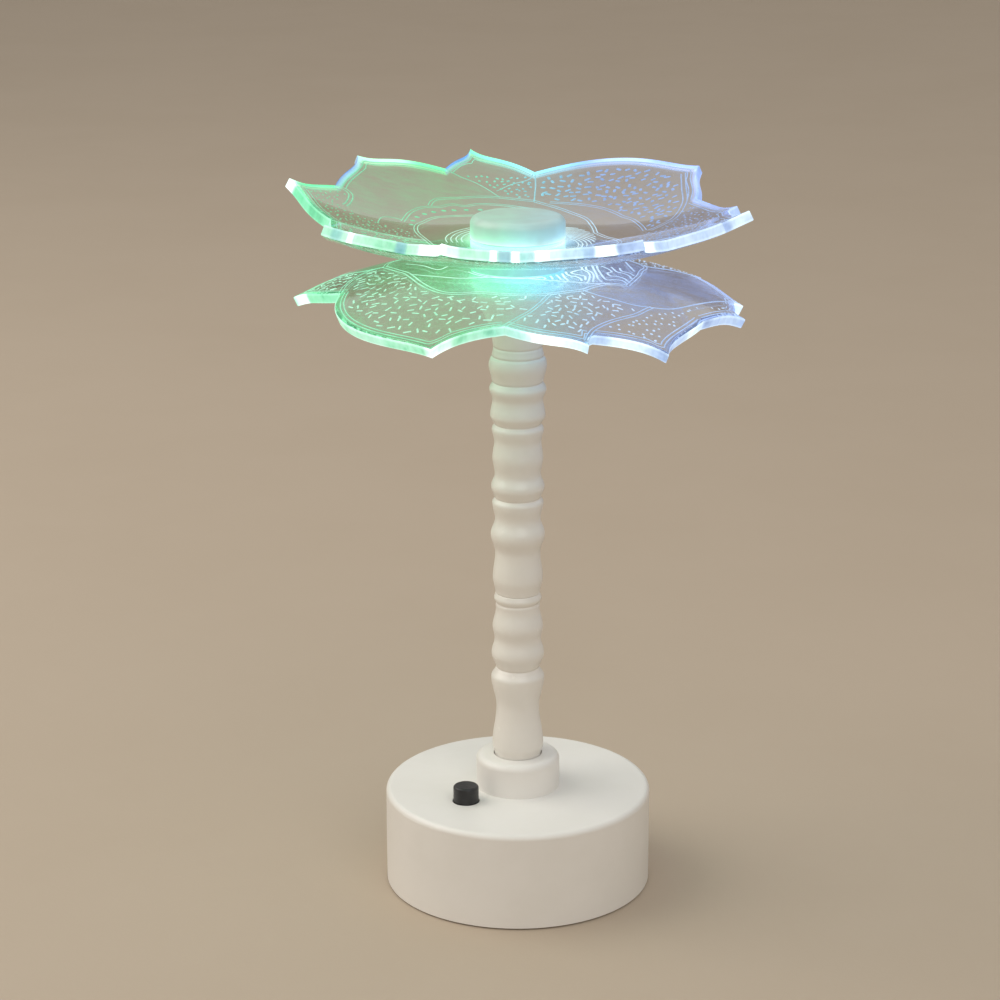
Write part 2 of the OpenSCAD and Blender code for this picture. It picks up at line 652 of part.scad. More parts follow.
// Plates
module dish_profile()
    polygon(concat([[0, 0]], dish_arc(dish_r), reversed(dish_arc(dish_r - plate_t)), [[0, plate_t]]));
module lotus_plate(petals, face_r) difference() {
    intersection() {
        rotate_extrude() dish_profile();
        linear_extrude(height = dish_height, scale = 1 - dish_height / edge_apex)
            polygon(petal_outline(petals, face_r));
    }
    translate([0, 0, -cut]) cylinder(d = plate_bore_d, h = plate_t + 2 * cut);
}
module lower_plate() color("aquamarine", 0.6)
    translate([0, 0, lower_plate_z + plate_t]) mirror([0, 0, 1]) lotus_plate(lower_petals, dish_r);
module plate_spacer() color("azure", 0.6) ring_of(seat_d, plate_bore_d + 4 * fit, spacer_z, spacer_h);
module upper_plate() color("lightblue", 0.6)
    translate([0, 0, upper_plate_z]) lotus_plate(upper_petals, dish_r - plate_t);

// Cap
module soft_washer() color("gainsboro", 0.7)
    ring_of(soft_washer_d, plate_bore_d + 4 * fit, soft_washer_z, soft_washer_t);
module cap_insert() color("goldenrod") ring_of(insert_d, tube_d + 2 * fit, insert_z, insert_h);
module top_cap() color("white") translate([0, 0, cap_z]) difference() {
    rounded_disc(cap_d / 2, cap_h, cap_edge_r);
    translate([0, 0, -cut]) cylinder(d = insert_d + 2 * fit, h = insert_z - cap_z + insert_h + touch + cut);
}

base_shell();
bottom_cover();
cover_screws();
rubber_feet();
battery_door();
door_pad();
battery_cells();
battery_springs();
contact_plates();
battery_lead();
control_board();
driver_chip();
board_resistors();
board_capacitor();
board_screws();
switch_body();
switch_spring();
switch_plunger();
button_cap();
column_lower();
column_upper();
column_nut();
column_washer();
threaded_tube();
lead_red();
lead_black();
led_carrier();
led_strip();
leds_lower();
leds_upper();
lens_tube();
lower_plate();
plate_spacer();
upper_plate();
soft_washer();
cap_insert();
top_cap();
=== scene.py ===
import math

import bpy
import numpy as np
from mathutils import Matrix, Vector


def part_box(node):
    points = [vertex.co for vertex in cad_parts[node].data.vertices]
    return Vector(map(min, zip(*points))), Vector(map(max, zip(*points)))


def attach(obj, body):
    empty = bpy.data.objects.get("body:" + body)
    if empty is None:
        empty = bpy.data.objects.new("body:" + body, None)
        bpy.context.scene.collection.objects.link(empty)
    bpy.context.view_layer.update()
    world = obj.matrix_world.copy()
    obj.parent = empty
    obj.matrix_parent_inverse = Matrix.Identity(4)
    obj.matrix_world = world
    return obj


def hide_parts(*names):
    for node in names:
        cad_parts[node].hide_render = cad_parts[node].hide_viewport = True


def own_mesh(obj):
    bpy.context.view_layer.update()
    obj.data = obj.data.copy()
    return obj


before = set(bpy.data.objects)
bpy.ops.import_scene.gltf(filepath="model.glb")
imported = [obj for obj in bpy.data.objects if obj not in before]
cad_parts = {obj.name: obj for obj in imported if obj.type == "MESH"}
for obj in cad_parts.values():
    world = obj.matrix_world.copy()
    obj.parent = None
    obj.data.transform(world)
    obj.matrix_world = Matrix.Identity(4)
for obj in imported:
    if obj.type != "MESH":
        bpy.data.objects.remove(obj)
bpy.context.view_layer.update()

MM = 0.001
rng = np.random.default_rng(7)

# Sizes of the part, in millimetres, as its source has them
DISH_R = 122.0
SHEET = 3.0
HUB_R = 14.5
BORE_R = 10.0
NIB = 3.0
NIB_POWER = 8
EDGE_APEX = 1.2 * DISH_R
UPPER_FOOT_Z = 195.25
LOWER_HUB_Z = 190.05
COLLAR_TOP = 40.15
FOOT_SEAT = 38.15
FOOT_R = 7.0
SPIGOT_Z = 20.35
SPIGOT_R = 5.0
WIRE_R = 2.6
SPLIT_Z = 91.45
SPLIT_R = 6.65
JOINT_R = 4.2
JOINT_LEN = 12.0
JOINT_FIT = 0.05
SOCKET_R = JOINT_R + JOINT_FIT
SOCKET_Z = SPLIT_Z - JOINT_LEN
SEAT_Z = 186.95
SEAT_R = 13.5
SEAT_T = 3.5
TUBE_R = 4.05
TUBE_DEPTH = 12.0
POCKET_Z = SEAT_Z - TUBE_DEPTH

# One row a petal: valley angle and radius, tip angle and radius, swell of the rising and falling flank
UPPER_PETALS = np.array([
    [332, 61, 341, 68, 0, 0], [349.5, 61, 358, 62.5, 0, -0.5], [382, 56.5, 398.5, 69.5, 0.5, 5.5],
    [445, 59, 462, 70.5, 1.5, 1], [471, 62, 492.5, 72, 2.5, 0.5], [510.5, 62, 522.5, 70, 0, 0],
    [544.5, 53.5, 582, 70, -3.5, 1.5], [602.5, 63.5, 612.5, 67, 0.5, 0], [630, 60.5, 660, 66.5, 1.5, 0],
    [672, 60, 684, 68.5, 1, 0],
])
LOWER_PETALS = np.array([
    [350.5, 63, 358, 65, 0, -0.5], [382, 58, 402, 69, 2, 3.5], [436, 57, 458, 68, 2.5, 0.5],
    [472, 58.5, 495, 69.5, 2.5, 0], [517, 59.5, 528.5, 67.2, 0.5, 0.5], [550, 51.5, 608, 62.8, 4, -1.5],
    [626, 50.5, 648.5, 60.5, 1, 0], [651.5, 56.5, 667, 68, -1, -0.5], [690, 60, 706, 66.5, -0.5, 0],
])
# Column knots: height over the collar and radius of each bead, waist and groove
LOWER_TURNING = np.array([
    [0, FOOT_R], [3, 7.7], [15.3, 6.45], [24.7, 8], [27.7, 6.6], [32.2, 7.9], [36.9, 6.95],
    [40.7, 7.55], [46.3, 6.55], [48.2, 6.65], [49.7, 7.1], [51.3, SPLIT_R],
])
UPPER_TURNING = np.array([
    [51.3, SPLIT_R], [56, 7.45], [63.9, 6.7], [69.6, 8.05], [74.4, 6.75], [79.4, 7.6], [80.8, 6.95],
    [84.3, 7.9], [88.1, 6.8], [93.2, 7.5], [97.9, 6.9], [101.9, 7.65], [103.3, 7.05], [106.1, 8.1],
    [110.5, 7.4], [114, 8.35], [116, 7.55], [121.1, 8.5], [126.1, 7.25], [131.5, 7.6],
])


# Meshes
def grid_quads(rows, cols, first=0, wrap_rows=False):
    """Quads of a grid of rows x cols points, closed round its columns, and round its rows if asked."""
    i = np.arange(rows if wrap_rows else rows - 1)[:, None]
    j = np.arange(cols)[None, :]
    next_i = (i + 1) % rows
    next_j = (j + 1) % cols
    corners = [i * cols + j, i * cols + next_j, next_i * cols + next_j, next_i * cols + j]
    return first + np.stack(corners, axis=-1).reshape(-1, 4)


def polar(radius, degrees):
    """Plan points from a radius and an angle each."""
    turn = np.radians(degrees)
    return np.stack([radius * np.cos(turn), radius * np.sin(turn)], axis=-1)


def carried_round(radius, height, turn):
    """A profile of radius and height carried round the upright axis: a grid of points."""
    return np.stack(np.broadcast_arrays(radius * np.cos(turn), radius * np.sin(turn), height), axis=-1)


def new_object(name, points, faces, materials):
    """A smooth mesh object at the origin, from points in metres and a list of face arrays."""
    mesh = bpy.data.meshes.new(name)
    all_faces = [face for array in faces for face in array.tolist()]
    mesh.from_pydata(points.reshape(-1, 3).tolist(), [], all_faces)
    mesh.polygons.foreach_set("use_smooth", np.full(len(mesh.polygons), True))
    mesh.update()
    for material in materials:
        mesh.materials.append(material)
    made = bpy.data.objects.new(name, mesh)
    bpy.context.scene.collection.objects.link(made)
    return made


def make_piece(name, points, faces, materials, body):
    """A piece of the lamp from points in millimetres, which moves with a body."""
    piece = new_object(name, points * MM, faces, materials)
    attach(piece, body)
    return piece


def point_values(piece, name, values):
    """A number for each point of the piece, for its material to read."""
    layer = piece.data.attributes.new(name, "FLOAT", "POINT")
    layer.data.foreach_set("value", np.ascontiguousarray(values, dtype=np.float32).ravel())


# Plate shapes
def outline(petals, angles):
    """Radius at each angle: a line from valley to tip, plus a sine swell and a nib, a high power of t.
    Also tells which angles lie on a falling flank, from a tip on to the next valley."""
    following = np.roll(petals, -1, axis=0)
    following[-1, 0] += 360
    turned = (angles - petals[0, 0]) % 360 + petals[0, 0]
    row = np.searchsorted(petals[:, 0], turned, side="right") - 1
    p, q = petals[row], following[row]
    falling = turned > p[:, 2]
    start = np.where(falling, q[:, 0], p[:, 0])
    valley = np.where(falling, q[:, 1], p[:, 1])
    swell = np.where(falling, p[:, 5], p[:, 4])
    t = (turned - start) / (p[:, 2] - start)
    radius = valley + (p[:, 3] - valley - NIB) * t + swell * np.sin(np.pi * t) + NIB * t ** NIB_POWER
    return radius, falling


def lift(radius, ball):
    """Height of the dish: flat to the hub, then a ball's arc that starts there."""
    q = np.maximum(radius - HUB_R, 0)
    return DISH_R - np.sqrt(ball ** 2 - q ** 2)


def top_ball(upper):
    """Radius of the ball that a plate's top face is bent to."""
    return DISH_R - SHEET if upper else DISH_R


def face_z(upper, radius, ball):
    """Height over the table of a plate's face: the upper plate is dished up, the lower one domed down."""
    return UPPER_FOOT_Z + lift(radius, ball) if upper else LOWER_HUB_Z - lift(radius, ball)


def on_face(upper, radius, ball):
    """Radius and height of points on a plate's face."""
    return np.stack([radius, face_z(upper, radius, ball)], axis=-1)


def on_plate(upper, flat, height):
    """Plan points in millimetres laid on the plate's top face, height above it."""
    z = face_z(upper, np.linalg.norm(flat, axis=-1), top_ball(upper)) + height
    return np.concatenate([flat, z[..., None]], axis=-1)


PLATE_STEPS = 1080
FACE_STEPS = 26
EDGE_PASSES = 8
ROUND = 0.28
CORNER_PULL = 0.3
RIM_GLOW = 2.7
BAND = np.array([0.0, 0.12, 0.5, 0.88, 1.0])


def face_radii(edge_r):
    """Even steps from the bore to the lit ring inside the rim, then one to where the corner is rounded."""
    steps = np.linspace(0, 1, FACE_STEPS - 1)[None, :]
    return np.hstack([BORE_R + (edge_r - RIM_GLOW - BORE_R)[:, None] * steps, edge_r[:, None] - ROUND])


def make_plate(name, body, petals, upper, materials):
    """A dished sheet: at each angle a closed section runs out over the top face, down the edge with rounded
    corners, back under the sheet and up the bore. The sections are carried round the plate's outline. The
    edge leans towards a point on the axis, so the under corner's radius is found in a few passes."""
    even = np.arange(PLATE_STEPS) * 360 / PLATE_STEPS
    angles = np.unique(np.concatenate([even, petals[:, 0] % 360, petals[:, 2] % 360]))
    edge_r, falling = outline(petals, angles)
    ball = top_ball(upper)
    under_ball = 2 * DISH_R - SHEET - ball
    under_r = edge_r
    for _ in range(EDGE_PASSES):
        under_r = edge_r * (1 - lift(under_r, under_ball) / EDGE_APEX) / (1 - lift(edge_r, ball) / EDGE_APEX)
    top = on_face(upper, face_radii(edge_r), ball)
    low = on_face(upper, face_radii(under_r), under_ball)[:, ::-1]
    corner_a = on_face(upper, edge_r, ball)[:, None, :]
    corner_b = on_face(upper, under_r, under_ball)[:, None, :]
    down = (corner_b - corner_a) / np.linalg.norm(corner_b - corner_a, axis=-1, keepdims=True) * ROUND
    band = corner_a + down + (corner_b - corner_a - 2 * down) * BAND[None, :, None]
    bend_a = corner_a + (top[:, -1:, :] - corner_a + down) * CORNER_PULL
    bend_b = corner_b + (low[:, :1, :] - corner_b - down) * CORNER_PULL
    section = np.concatenate([top, bend_a, band, bend_b, low], axis=1)
    points = carried_round(section[..., 0], section[..., 1], np.radians(angles)[:, None])
    count, cols = section.shape[:2]
    quads = grid_quads(count, cols, wrap_rows=True)
    piece = make_piece(name, points, [quads], materials, body)
    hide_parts(body)

    first_band = FACE_STEPS + 1
    past_band = first_band + len(BAND)
    column = np.tile(np.arange(cols), count)
    on_edge = (column >= first_band - 2) & (column < past_band + 1)
    piece.data.polygons.foreach_set("material_index", on_edge.astype(np.int32))
    across = np.zeros(cols)
    across[first_band:past_band] = BAND
    across[past_band:] = 1
    point_values(piece, "across", np.tile(across, count))
    rim = np.zeros(cols)
    rim[first_band - 2:past_band + 2] = 1
    point_values(piece, "rim", np.tile(rim, count))
    return {"piece": piece, "angles": angles, "falling": falling, "points": points,
            "radius": section[..., 0]}


# Engraving
# Lengths are in millimetres and angles in degrees; the others are counts and shares
PATH_STEP = 0.7
CUT_CROWN = 0.07
CUT_SINK = 0.05
CUT_ROOT = 0.12
MARK_SIDES = 8
MARK_TOP = 0.6
MARK_PEAK = 1.3 * CUT_CROWN
SCATTER_SPAN = 160
SCATTER_ROW = 0.866
SCATTER_JITTER = 0.32
BORDER_POINTS = 90
BORDER_ENDS = 1.2
BORDER_STEEPEST = 1.9
BORDER_SMOOTHING = 5
ARC_POINTS = 60
SPIRAL_POINTS = 24
WAVE_POINTS = 46
WAVE_SWING = 5.5
WAVE_RATE = 0.62
WAVE_SHIFT = 0.09


def smooth_path(knots, step=PATH_STEP):
    """A smooth curve through the knots: a cubic between each two, with slopes from their neighbours."""
    p = np.asarray(knots, float)
    spread = np.vstack([2 * p[0] - p[1], p, 2 * p[-1] - p[-2]])
    length = np.linalg.norm(np.diff(p, axis=0), axis=1).sum()
    s = np.linspace(0, len(p) - 1, max(int(length / step), 4))
    i = np.minimum(s.astype(int), len(p) - 2)
    t = (s - i)[:, None]
    a, b, c, d = spread[i], spread[i + 1], spread[i + 2], spread[i + 3]
    bend = (2 * a - 5 * b + 4 * c - d) * t ** 2 + (3 * b - a - 3 * c + d) * t ** 3
    return 0.5 * (2 * b + (c - a) * t + bend)


def sideways(path):
    """Unit vector to the left of a plan path at each of its points."""
    along = np.gradient(path, axis=0)
    along /= np.maximum(np.linalg.norm(along, axis=1, keepdims=True), 1e-9)
    return np.stack([-along[:, 1], along[:, 0]], axis=1)


def make_lines(name, upper, paths, material, body):
    """All the cut lines of a plate in one mesh: each is a closed bar, a flat diamond section carried along a
    plan path on the top face. A path comes with its width."""
    points, faces, first = [], [], 0
    for path, width in paths:
        left = sideways(path) * width / 2
        ring = [on_plate(upper, path + left, -CUT_SINK), on_plate(upper, path, CUT_CROWN),
                on_plate(upper, path - left, -CUT_SINK), on_plate(upper, path, -CUT_ROOT)]
        size = len(path) * len(ring)
        points.append(np.stack(ring, axis=1).reshape(-1, 3))
        faces.append(grid_quads(len(path), len(ring), first))
        faces.append(np.array([[3, 2, 1, 0], [size - 4, size - 3, size - 2, size - 1]]) + first)
        first += size
    make_piece(name, np.concatenate(points), faces, [material], body)


def make_marks(name, upper, centres, turns, lengths, widths, material, body):
    """Dashes and dots: each is a low pill, a ring of eight points with a smaller raised ring, and a point
    over and under."""
    a = (np.arange(MARK_SIDES) + 0.5) * 2 * np.pi / MARK_SIDES
    reach = (lengths - widths)[:, None] / 2 * np.sign(np.cos(a))
    c, s = np.cos(turns)[:, None], np.sin(turns)[:, None]

    def ring(share):
        u = reach + widths[:, None] / 2 * share * np.cos(a)
        v = widths[:, None] / 2 * share * np.sin(a)
        return centres[:, None, :] + np.stack([u * c - v * s, u * s + v * c], axis=-1)

    rings = [on_plate(upper, ring(1.0), -CUT_SINK), on_plate(upper, ring(MARK_TOP), CUT_CROWN)]
    middle = centres[:, None, :]
    poles = [on_plate(upper, middle, MARK_PEAK), on_plate(upper, middle, -CUT_ROOT)]
    points = np.concatenate(rings + poles, axis=1)
    j = np.arange(MARK_SIDES)
    k = (j + 1) % MARK_SIDES
    over = np.full(MARK_SIDES, 2 * MARK_SIDES)
    base = (np.arange(len(centres)) * points.shape[1])[:, None, None]
    walls = np.stack([j, k, k + MARK_SIDES, j + MARK_SIDES], axis=-1)[None] + base
    crown = np.stack([j + MARK_SIDES, k + MARK_SIDES, over], axis=-1)[None] + base
    root = np.stack([k, j, over + 1], axis=-1)[None] + base
    faces = [walls.reshape(-1, 4), crown.reshape(-1, 3), root.reshape(-1, 3)]
    make_piece(name, points, faces, [material], body)


def inside(points, corners):
    """True for points inside a polygon: a ray to the right crosses its sides an odd number of times."""
    a = np.asarray(corners, float)
    b = np.roll(a, -1, axis=0)
    x, y = points[:, :1], points[:, 1:]
    crosses = (a[:, 1] > y) != (b[:, 1] > y)
    rise = np.where(b[:, 1] == a[:, 1], 1e-9, b[:, 1] - a[:, 1])
    return (crosses & (x < (b[:, 0] - a[:, 0]) * (y - a[:, 1]) / rise + a[:, 0])).sum(axis=1) % 2 == 1


def clear_of(points, corners):
    """Distance from each point to the nearest side of a polygon."""
    a = np.asarray(corners, float)
    side = np.roll(a, -1, axis=0) - a
    to = points[:, None, :] - a
    t = np.clip((to * side).sum(-1) / np.maximum((side ** 2).sum(-1), 1e-9), 0, 1)
    return np.linalg.norm(to - side * t[..., None], axis=-1).min(axis=1)


def scattered(petals, corners, pitch, inset, gap):
    """Places for marks in a field: a six-sided grid with jitter, kept off the field's sides and the edge."""
    count = int(SCATTER_SPAN / pitch)
    i, j = np.meshgrid(np.arange(count), np.arange(count))
    flat = np.stack([(i + 0.5 * (j % 2)) * pitch, j * pitch * SCATTER_ROW], axis=-1).reshape(-1, 2)
    flat = flat - SCATTER_SPAN / 2 + rng.uniform(-SCATTER_JITTER, SCATTER_JITTER, flat.shape) * pitch
    edge, _ = outline(petals, np.degrees(np.arctan2(flat[:, 1], flat[:, 0])))
    within = (np.linalg.norm(flat, axis=1) < edge - inset) & inside(flat, corners)
    return flat[within & (clear_of(flat, corners) > gap)]


def border_paths(petals, depth, width=0.36):
    """A line inside each petal's edge, at a set depth square to the edge, from valley to valley."""
    paths = []
    following = np.append(petals[1:, 0], petals[0, 0] + 360)
    for start, end in zip(petals[:, 0], following):
        angles = np.linspace(start + BORDER_ENDS, end - BORDER_ENDS, BORDER_POINTS)
        radius, _ = outline(petals, angles)
        slope = np.gradient(radius, np.radians(angles)) / radius
        radius = radius - depth * np.minimum(np.sqrt(1 + slope ** 2), BORDER_STEEPEST)
        padded = np.pad(radius, BORDER_SMOOTHING // 2, mode="edge")
        radius = np.convolve(padded, np.full(BORDER_SMOOTHING, 1 / BORDER_SMOOTHING), mode="valid")
        paths.append((polar(radius, angles), width))
    return paths


def double(knots, width=0.36, apart=1.0):
    """Two cut lines side by side along a smooth path."""
    path = smooth_path(knots)
    half = sideways(path) * apart / 2
    return [(path + half, width), (path - half, width)]


def single(knots, width=0.42):
    """One cut line along a smooth path."""
    return [(smooth_path(knots), width)]


def arc(radius, start, end, width):
    """A cut line round the hub."""
    return [(polar(radius, np.linspace(start, end, ARC_POINTS)), width)]


def wave(angle, start, end, width):
    """A cut line that goes out from the hub and swings from side to side as a sine of the radius."""
    radius = np.linspace(start, end, WAVE_POINTS)
    return [(polar(radius, angle + WAVE_SWING * np.sin(radius * WAVE_RATE + angle * WAVE_SHIFT)), width)]


def spiral(angle, start, end, twist, width):
    """A cut line beside the hub: it falls back by some degrees for each millimetre that it goes out."""
    radius = np.linspace(start, end, SPIRAL_POINTS)
    return [(polar(radius, angle - twist * (radius - start)), width)]


# Shader nodes
def feed(tree, socket, value):
    """Links an output to an input, or sets the input's own value."""
    if isinstance(value, bpy.types.NodeSocket):
        tree.links.new(value, socket)
    else:
        socket.default_value = value


def add(tree, kind, inputs=(), **settings):
    """A node with its settings; inputs are pairs of a name or number and an output or value."""
    node = tree.nodes.new(kind)
    for key, value in settings.items():
        setattr(node, key, value)
    for key, value in inputs:
        feed(tree, node.inputs[key], value)
    return node


def math_node(tree, operation, a, b=0.0, clamp=False):
    inputs = [(0, a), (1, b)]
    return add(tree, "ShaderNodeMath", inputs, operation=operation, use_clamp=clamp).outputs[0]


def times(tree, a, b):
    return math_node(tree, "MULTIPLY", a, b)


def plus(tree, a, b, clamp=False):
    return math_node(tree, "ADD", a, b, clamp)


def span(tree, value, low, high, to_low=0.0, to_high=1.0, smooth=False):
    """A value from low to high turned into one from to_low to to_high."""
    inputs = [(0, value), (1, low), (2, high), (3, to_low), (4, to_high)]
    kind = "SMOOTHSTEP" if smooth else "LINEAR"
    return add(tree, "ShaderNodeMapRange", inputs, interpolation_type=kind).outputs[0]


def blend(tree, factor, a, b, kind="MIX"):
    """Colour a turned into colour b by a factor."""
    inputs = [(0, factor), (6, a), (7, b)]
    return add(tree, "ShaderNodeMix", inputs, data_type="RGBA", blend_type=kind).outputs[2]


def noise(tree, vector, scale, detail=3.0, rough=0.55):
    inputs = [("Vector", vector), ("Scale", scale), ("Detail", detail), ("Roughness", rough)]
    return add(tree, "ShaderNodeTexNoise", inputs).outputs[0]


def object_place(tree):
    return add(tree, "ShaderNodeTexCoord").outputs["Object"]


def along_axis(tree, place, axis):
    return add(tree, "ShaderNodeSeparateXYZ", [(0, place)]).outputs[axis]


def vector_node(tree, operation, inputs):
    return add(tree, "ShaderNodeVectorMath", inputs, operation=operation)


def attribute(tree, name):
    return add(tree, "ShaderNodeAttribute", attribute_name=name).outputs["Fac"]


# Shader groups
COLOUR, NUMBER = "NodeSocketColor", "NodeSocketFloat"
SURFACE = [("Colour", COLOUR), ("Roughness", NUMBER), ("Height", NUMBER)]
# Colours of the light from the left tip to the right one, and how far both are from the middle, in metres
LIGHT_ACROSS = [(0.0, (0.12, 0.86, 0.40)), (0.36, (0.12, 0.88, 0.36)), (0.47, (0.20, 0.90, 0.62)),
                (0.56, (0.25, 0.80, 0.95)), (0.68, (0.27, 0.46, 0.98)), (1.0, (0.33, 0.49, 1.0))]
LIGHT_REACH = 0.066
COOL_LIGHT = (0.16, 0.42, 0.95, 1)
BEAM_WHITE = (0.85, 1.0, 0.97, 1)


def new_group(name, inputs, outputs):
    """An empty node group with its sockets."""
    group = bpy.data.node_groups.new(name, "ShaderNodeTree")
    for label, kind, value in inputs:
        group.interface.new_socket(label, in_out="INPUT", socket_type=kind).default_value = value
    for label, kind in outputs:
        group.interface.new_socket(label, in_out="OUTPUT", socket_type=kind)
    return group, group.nodes.new("NodeGroupInput").outputs, group.nodes.new("NodeGroupOutput").inputs


def skin_group():
    """Moulded or cast skin: cloudy colour, uneven gloss and a fine grain."""
    inputs = [("Colour", COLOUR, (0.8, 0.8, 0.8, 1)), ("Cloud", COLOUR, (0.7, 0.7, 0.7, 1)),
              ("Gloss", NUMBER, 0.4), ("Gloss Spread", NUMBER, 0.15),
              ("Cloud Scale", NUMBER, 60.0), ("Grain Scale", NUMBER, 2500.0)]
    group, given, out = new_group("moulded_skin", inputs, SURFACE)
    place = object_place(group)
    cloud = noise(group, place, given["Cloud Scale"], 4.0, 0.6)
    grain = noise(group, place, given["Grain Scale"], 2.0, 0.5)
    marks = noise(group, place, times(group, given["Cloud Scale"], 6.0), 5.0, 0.7)
    mask = span(group, cloud, 0.35, 0.7, smooth=True)
    uneven = times(group, math_node(group, "SUBTRACT", marks, 0.5), given["Gloss Spread"])
    feed(group, out["Colour"], blend(group, mask, given["Colour"], given["Cloud"]))
    feed(group, out["Roughness"], plus(group, given["Gloss"], uneven, clamp=True))
    feed(group, out["Height"], plus(group, grain, times(group, marks, 0.4)))
    return group


def turned_group():
    """Turned and plated metal: fine rings round the upright axis over a cloudy tone."""
    inputs = [("Colour", COLOUR, (0.6, 0.6, 0.6, 1)), ("Dull", COLOUR, (0.4, 0.4, 0.4, 1)),
              ("Gloss", NUMBER, 0.3), ("Ring Scale", NUMBER, 6000.0)]
    group, given, out = new_group("turned_metal", inputs, SURFACE)
    place = object_place(group)
    rise = times(group, along_axis(group, place, 2), given["Ring Scale"])
    upright = add(group, "ShaderNodeCombineXYZ", [(2, rise)]).outputs[0]
    near = vector_node(group, "MULTIPLY", [(0, place), (1, (120, 120, 120))]).outputs[0]
    rings = noise(group, vector_node(group, "ADD", [(0, upright), (1, near)]).outputs[0], 1.0, 3.0, 0.6)
    tone = span(group, noise(group, place, 220.0, 4.0, 0.65), 0.4, 0.75)
    uneven = span(group, rings, 0.3, 0.7, -0.08, 0.12)
    feed(group, out["Colour"], blend(group, tone, given["Colour"], given["Dull"]))
    feed(group, out["Roughness"], plus(group, given["Gloss"], uneven, clamp=True))
    feed(group, out["Height"], rings)
    return group


def led_group():
    """Colour of the lamp's light across the plates: green on the left, aqua in the middle, blue on the
    right, turned to a cool blue or to white where asked."""
    inputs = [("Cool", NUMBER, 0.0), ("White", NUMBER, 0.0)]
    group, given, out = new_group("led_light", inputs, [("Colour", COLOUR)])
    place = object_place(group)
    drift = times(group, math_node(group, "SUBTRACT", noise(group, place, 25.0, 2.0), 0.5), 0.02)
    across = plus(group, along_axis(group, place, 0), drift)
    ramp = add(group, "ShaderNodeValToRGB", [(0, span(group, across, -LIGHT_REACH, LIGHT_REACH))])
    bar = ramp.color_ramp.elements
    while len(bar) < len(LIGHT_ACROSS):
        bar.new(0.5)
    for stop, (at, colour) in zip(bar, LIGHT_ACROSS):
        stop.position = at
        stop.color = (*colour, 1)
    cooled = blend(group, given["Cool"], ramp.outputs[0], COOL_LIGHT)
    feed(group, out["Colour"], blend(group, given["White"], cooled, BEAM_WHITE))
    return group


SKIN, TURNED, LED = skin_group(), turned_group(), led_group()


# Materials
def new_material(name, **constants):
    """A material with one Principled shader whose plain numbers are set on its own sockets."""
    material = bpy.data.materials.new(name)
    material.use_nodes = True
    tree = material.node_tree
    shader = tree.nodes["Principled BSDF"]
    for key, value in constants.items():
        shader.inputs[key.replace("_", " ")].default_value = value
    return material, tree, shader


def use_group(tree, group, values):
    node = add(tree, "ShaderNodeGroup", node_tree=group)
    for key, value in values.items():
        feed(tree, node.inputs[key], value)
    return node.outputs


def led_light(tree, cool=0.0, white=0.0):
    return use_group(tree, LED, {"Cool": cool, "White": white})["Colour"]


def shine(tree, shader, light, level):
    """Light of some colour and level that comes out of the surface."""
    glow = vector_node(tree, "SCALE", [(0, light), ("Scale", level)]).outputs[0]
    feed(tree, shader.inputs["Emission Color"], glow)


def tinted(tree, shader, light, shade):
    """A surface of some shade that takes on the colour of its light."""
    feed(tree, shader.inputs["Base Color"], blend(tree, 1.0, light, (*shade, 1), "MULTIPLY"))


def bump(tree, shader, height, strength, distance):
    inputs = [("Height", height), ("Strength", strength), ("Distance", distance)]
    feed(tree, shader.inputs["Normal"], add(tree, "ShaderNodeBump", inputs).outputs[0])


def dress(tree, shader, surface, strength, depth):
    """Colour, roughness and relief of a group on a shader."""
    feed(tree, shader.inputs["Base Color"], surface["Colour"])
    feed(tree, shader.inputs["Roughness"], surface["Roughness"])
    bump(tree, shader, surface["Height"], strength, depth)


def skin(tree, colour, cloud, gloss, spread, clouds, grain=2500.0):
    return use_group(tree, SKIN, {"Colour": (*colour, 1), "Cloud": (*cloud, 1), "Gloss": gloss,
                                  "Gloss Spread": spread, "Cloud Scale": clouds, "Grain Scale": grain})


def skinned(name, colour, cloud, gloss=0.4, spread=0.2, clouds=60.0, grain=2500.0, depth=0.00002):
    """Moulded plastic, rubber, ceramic or film."""
    material, tree, shader = new_material(name)
    dress(tree, shader, skin(tree, colour, cloud, gloss, spread, clouds, grain), 0.35, depth)
    return material


def plated(name, colour, dull, gloss=0.3, rings=6000.0):
    """Turned metal."""
    material, tree, shader = new_material(name, Metallic=1.0)
    turned = use_group(tree, TURNED, {"Colour": (*colour, 1), "Dull": (*dull, 1), "Gloss": gloss,
                                      "Ring Scale": rings})
    dress(tree, shader, turned, 0.3, 0.00002)
    return material


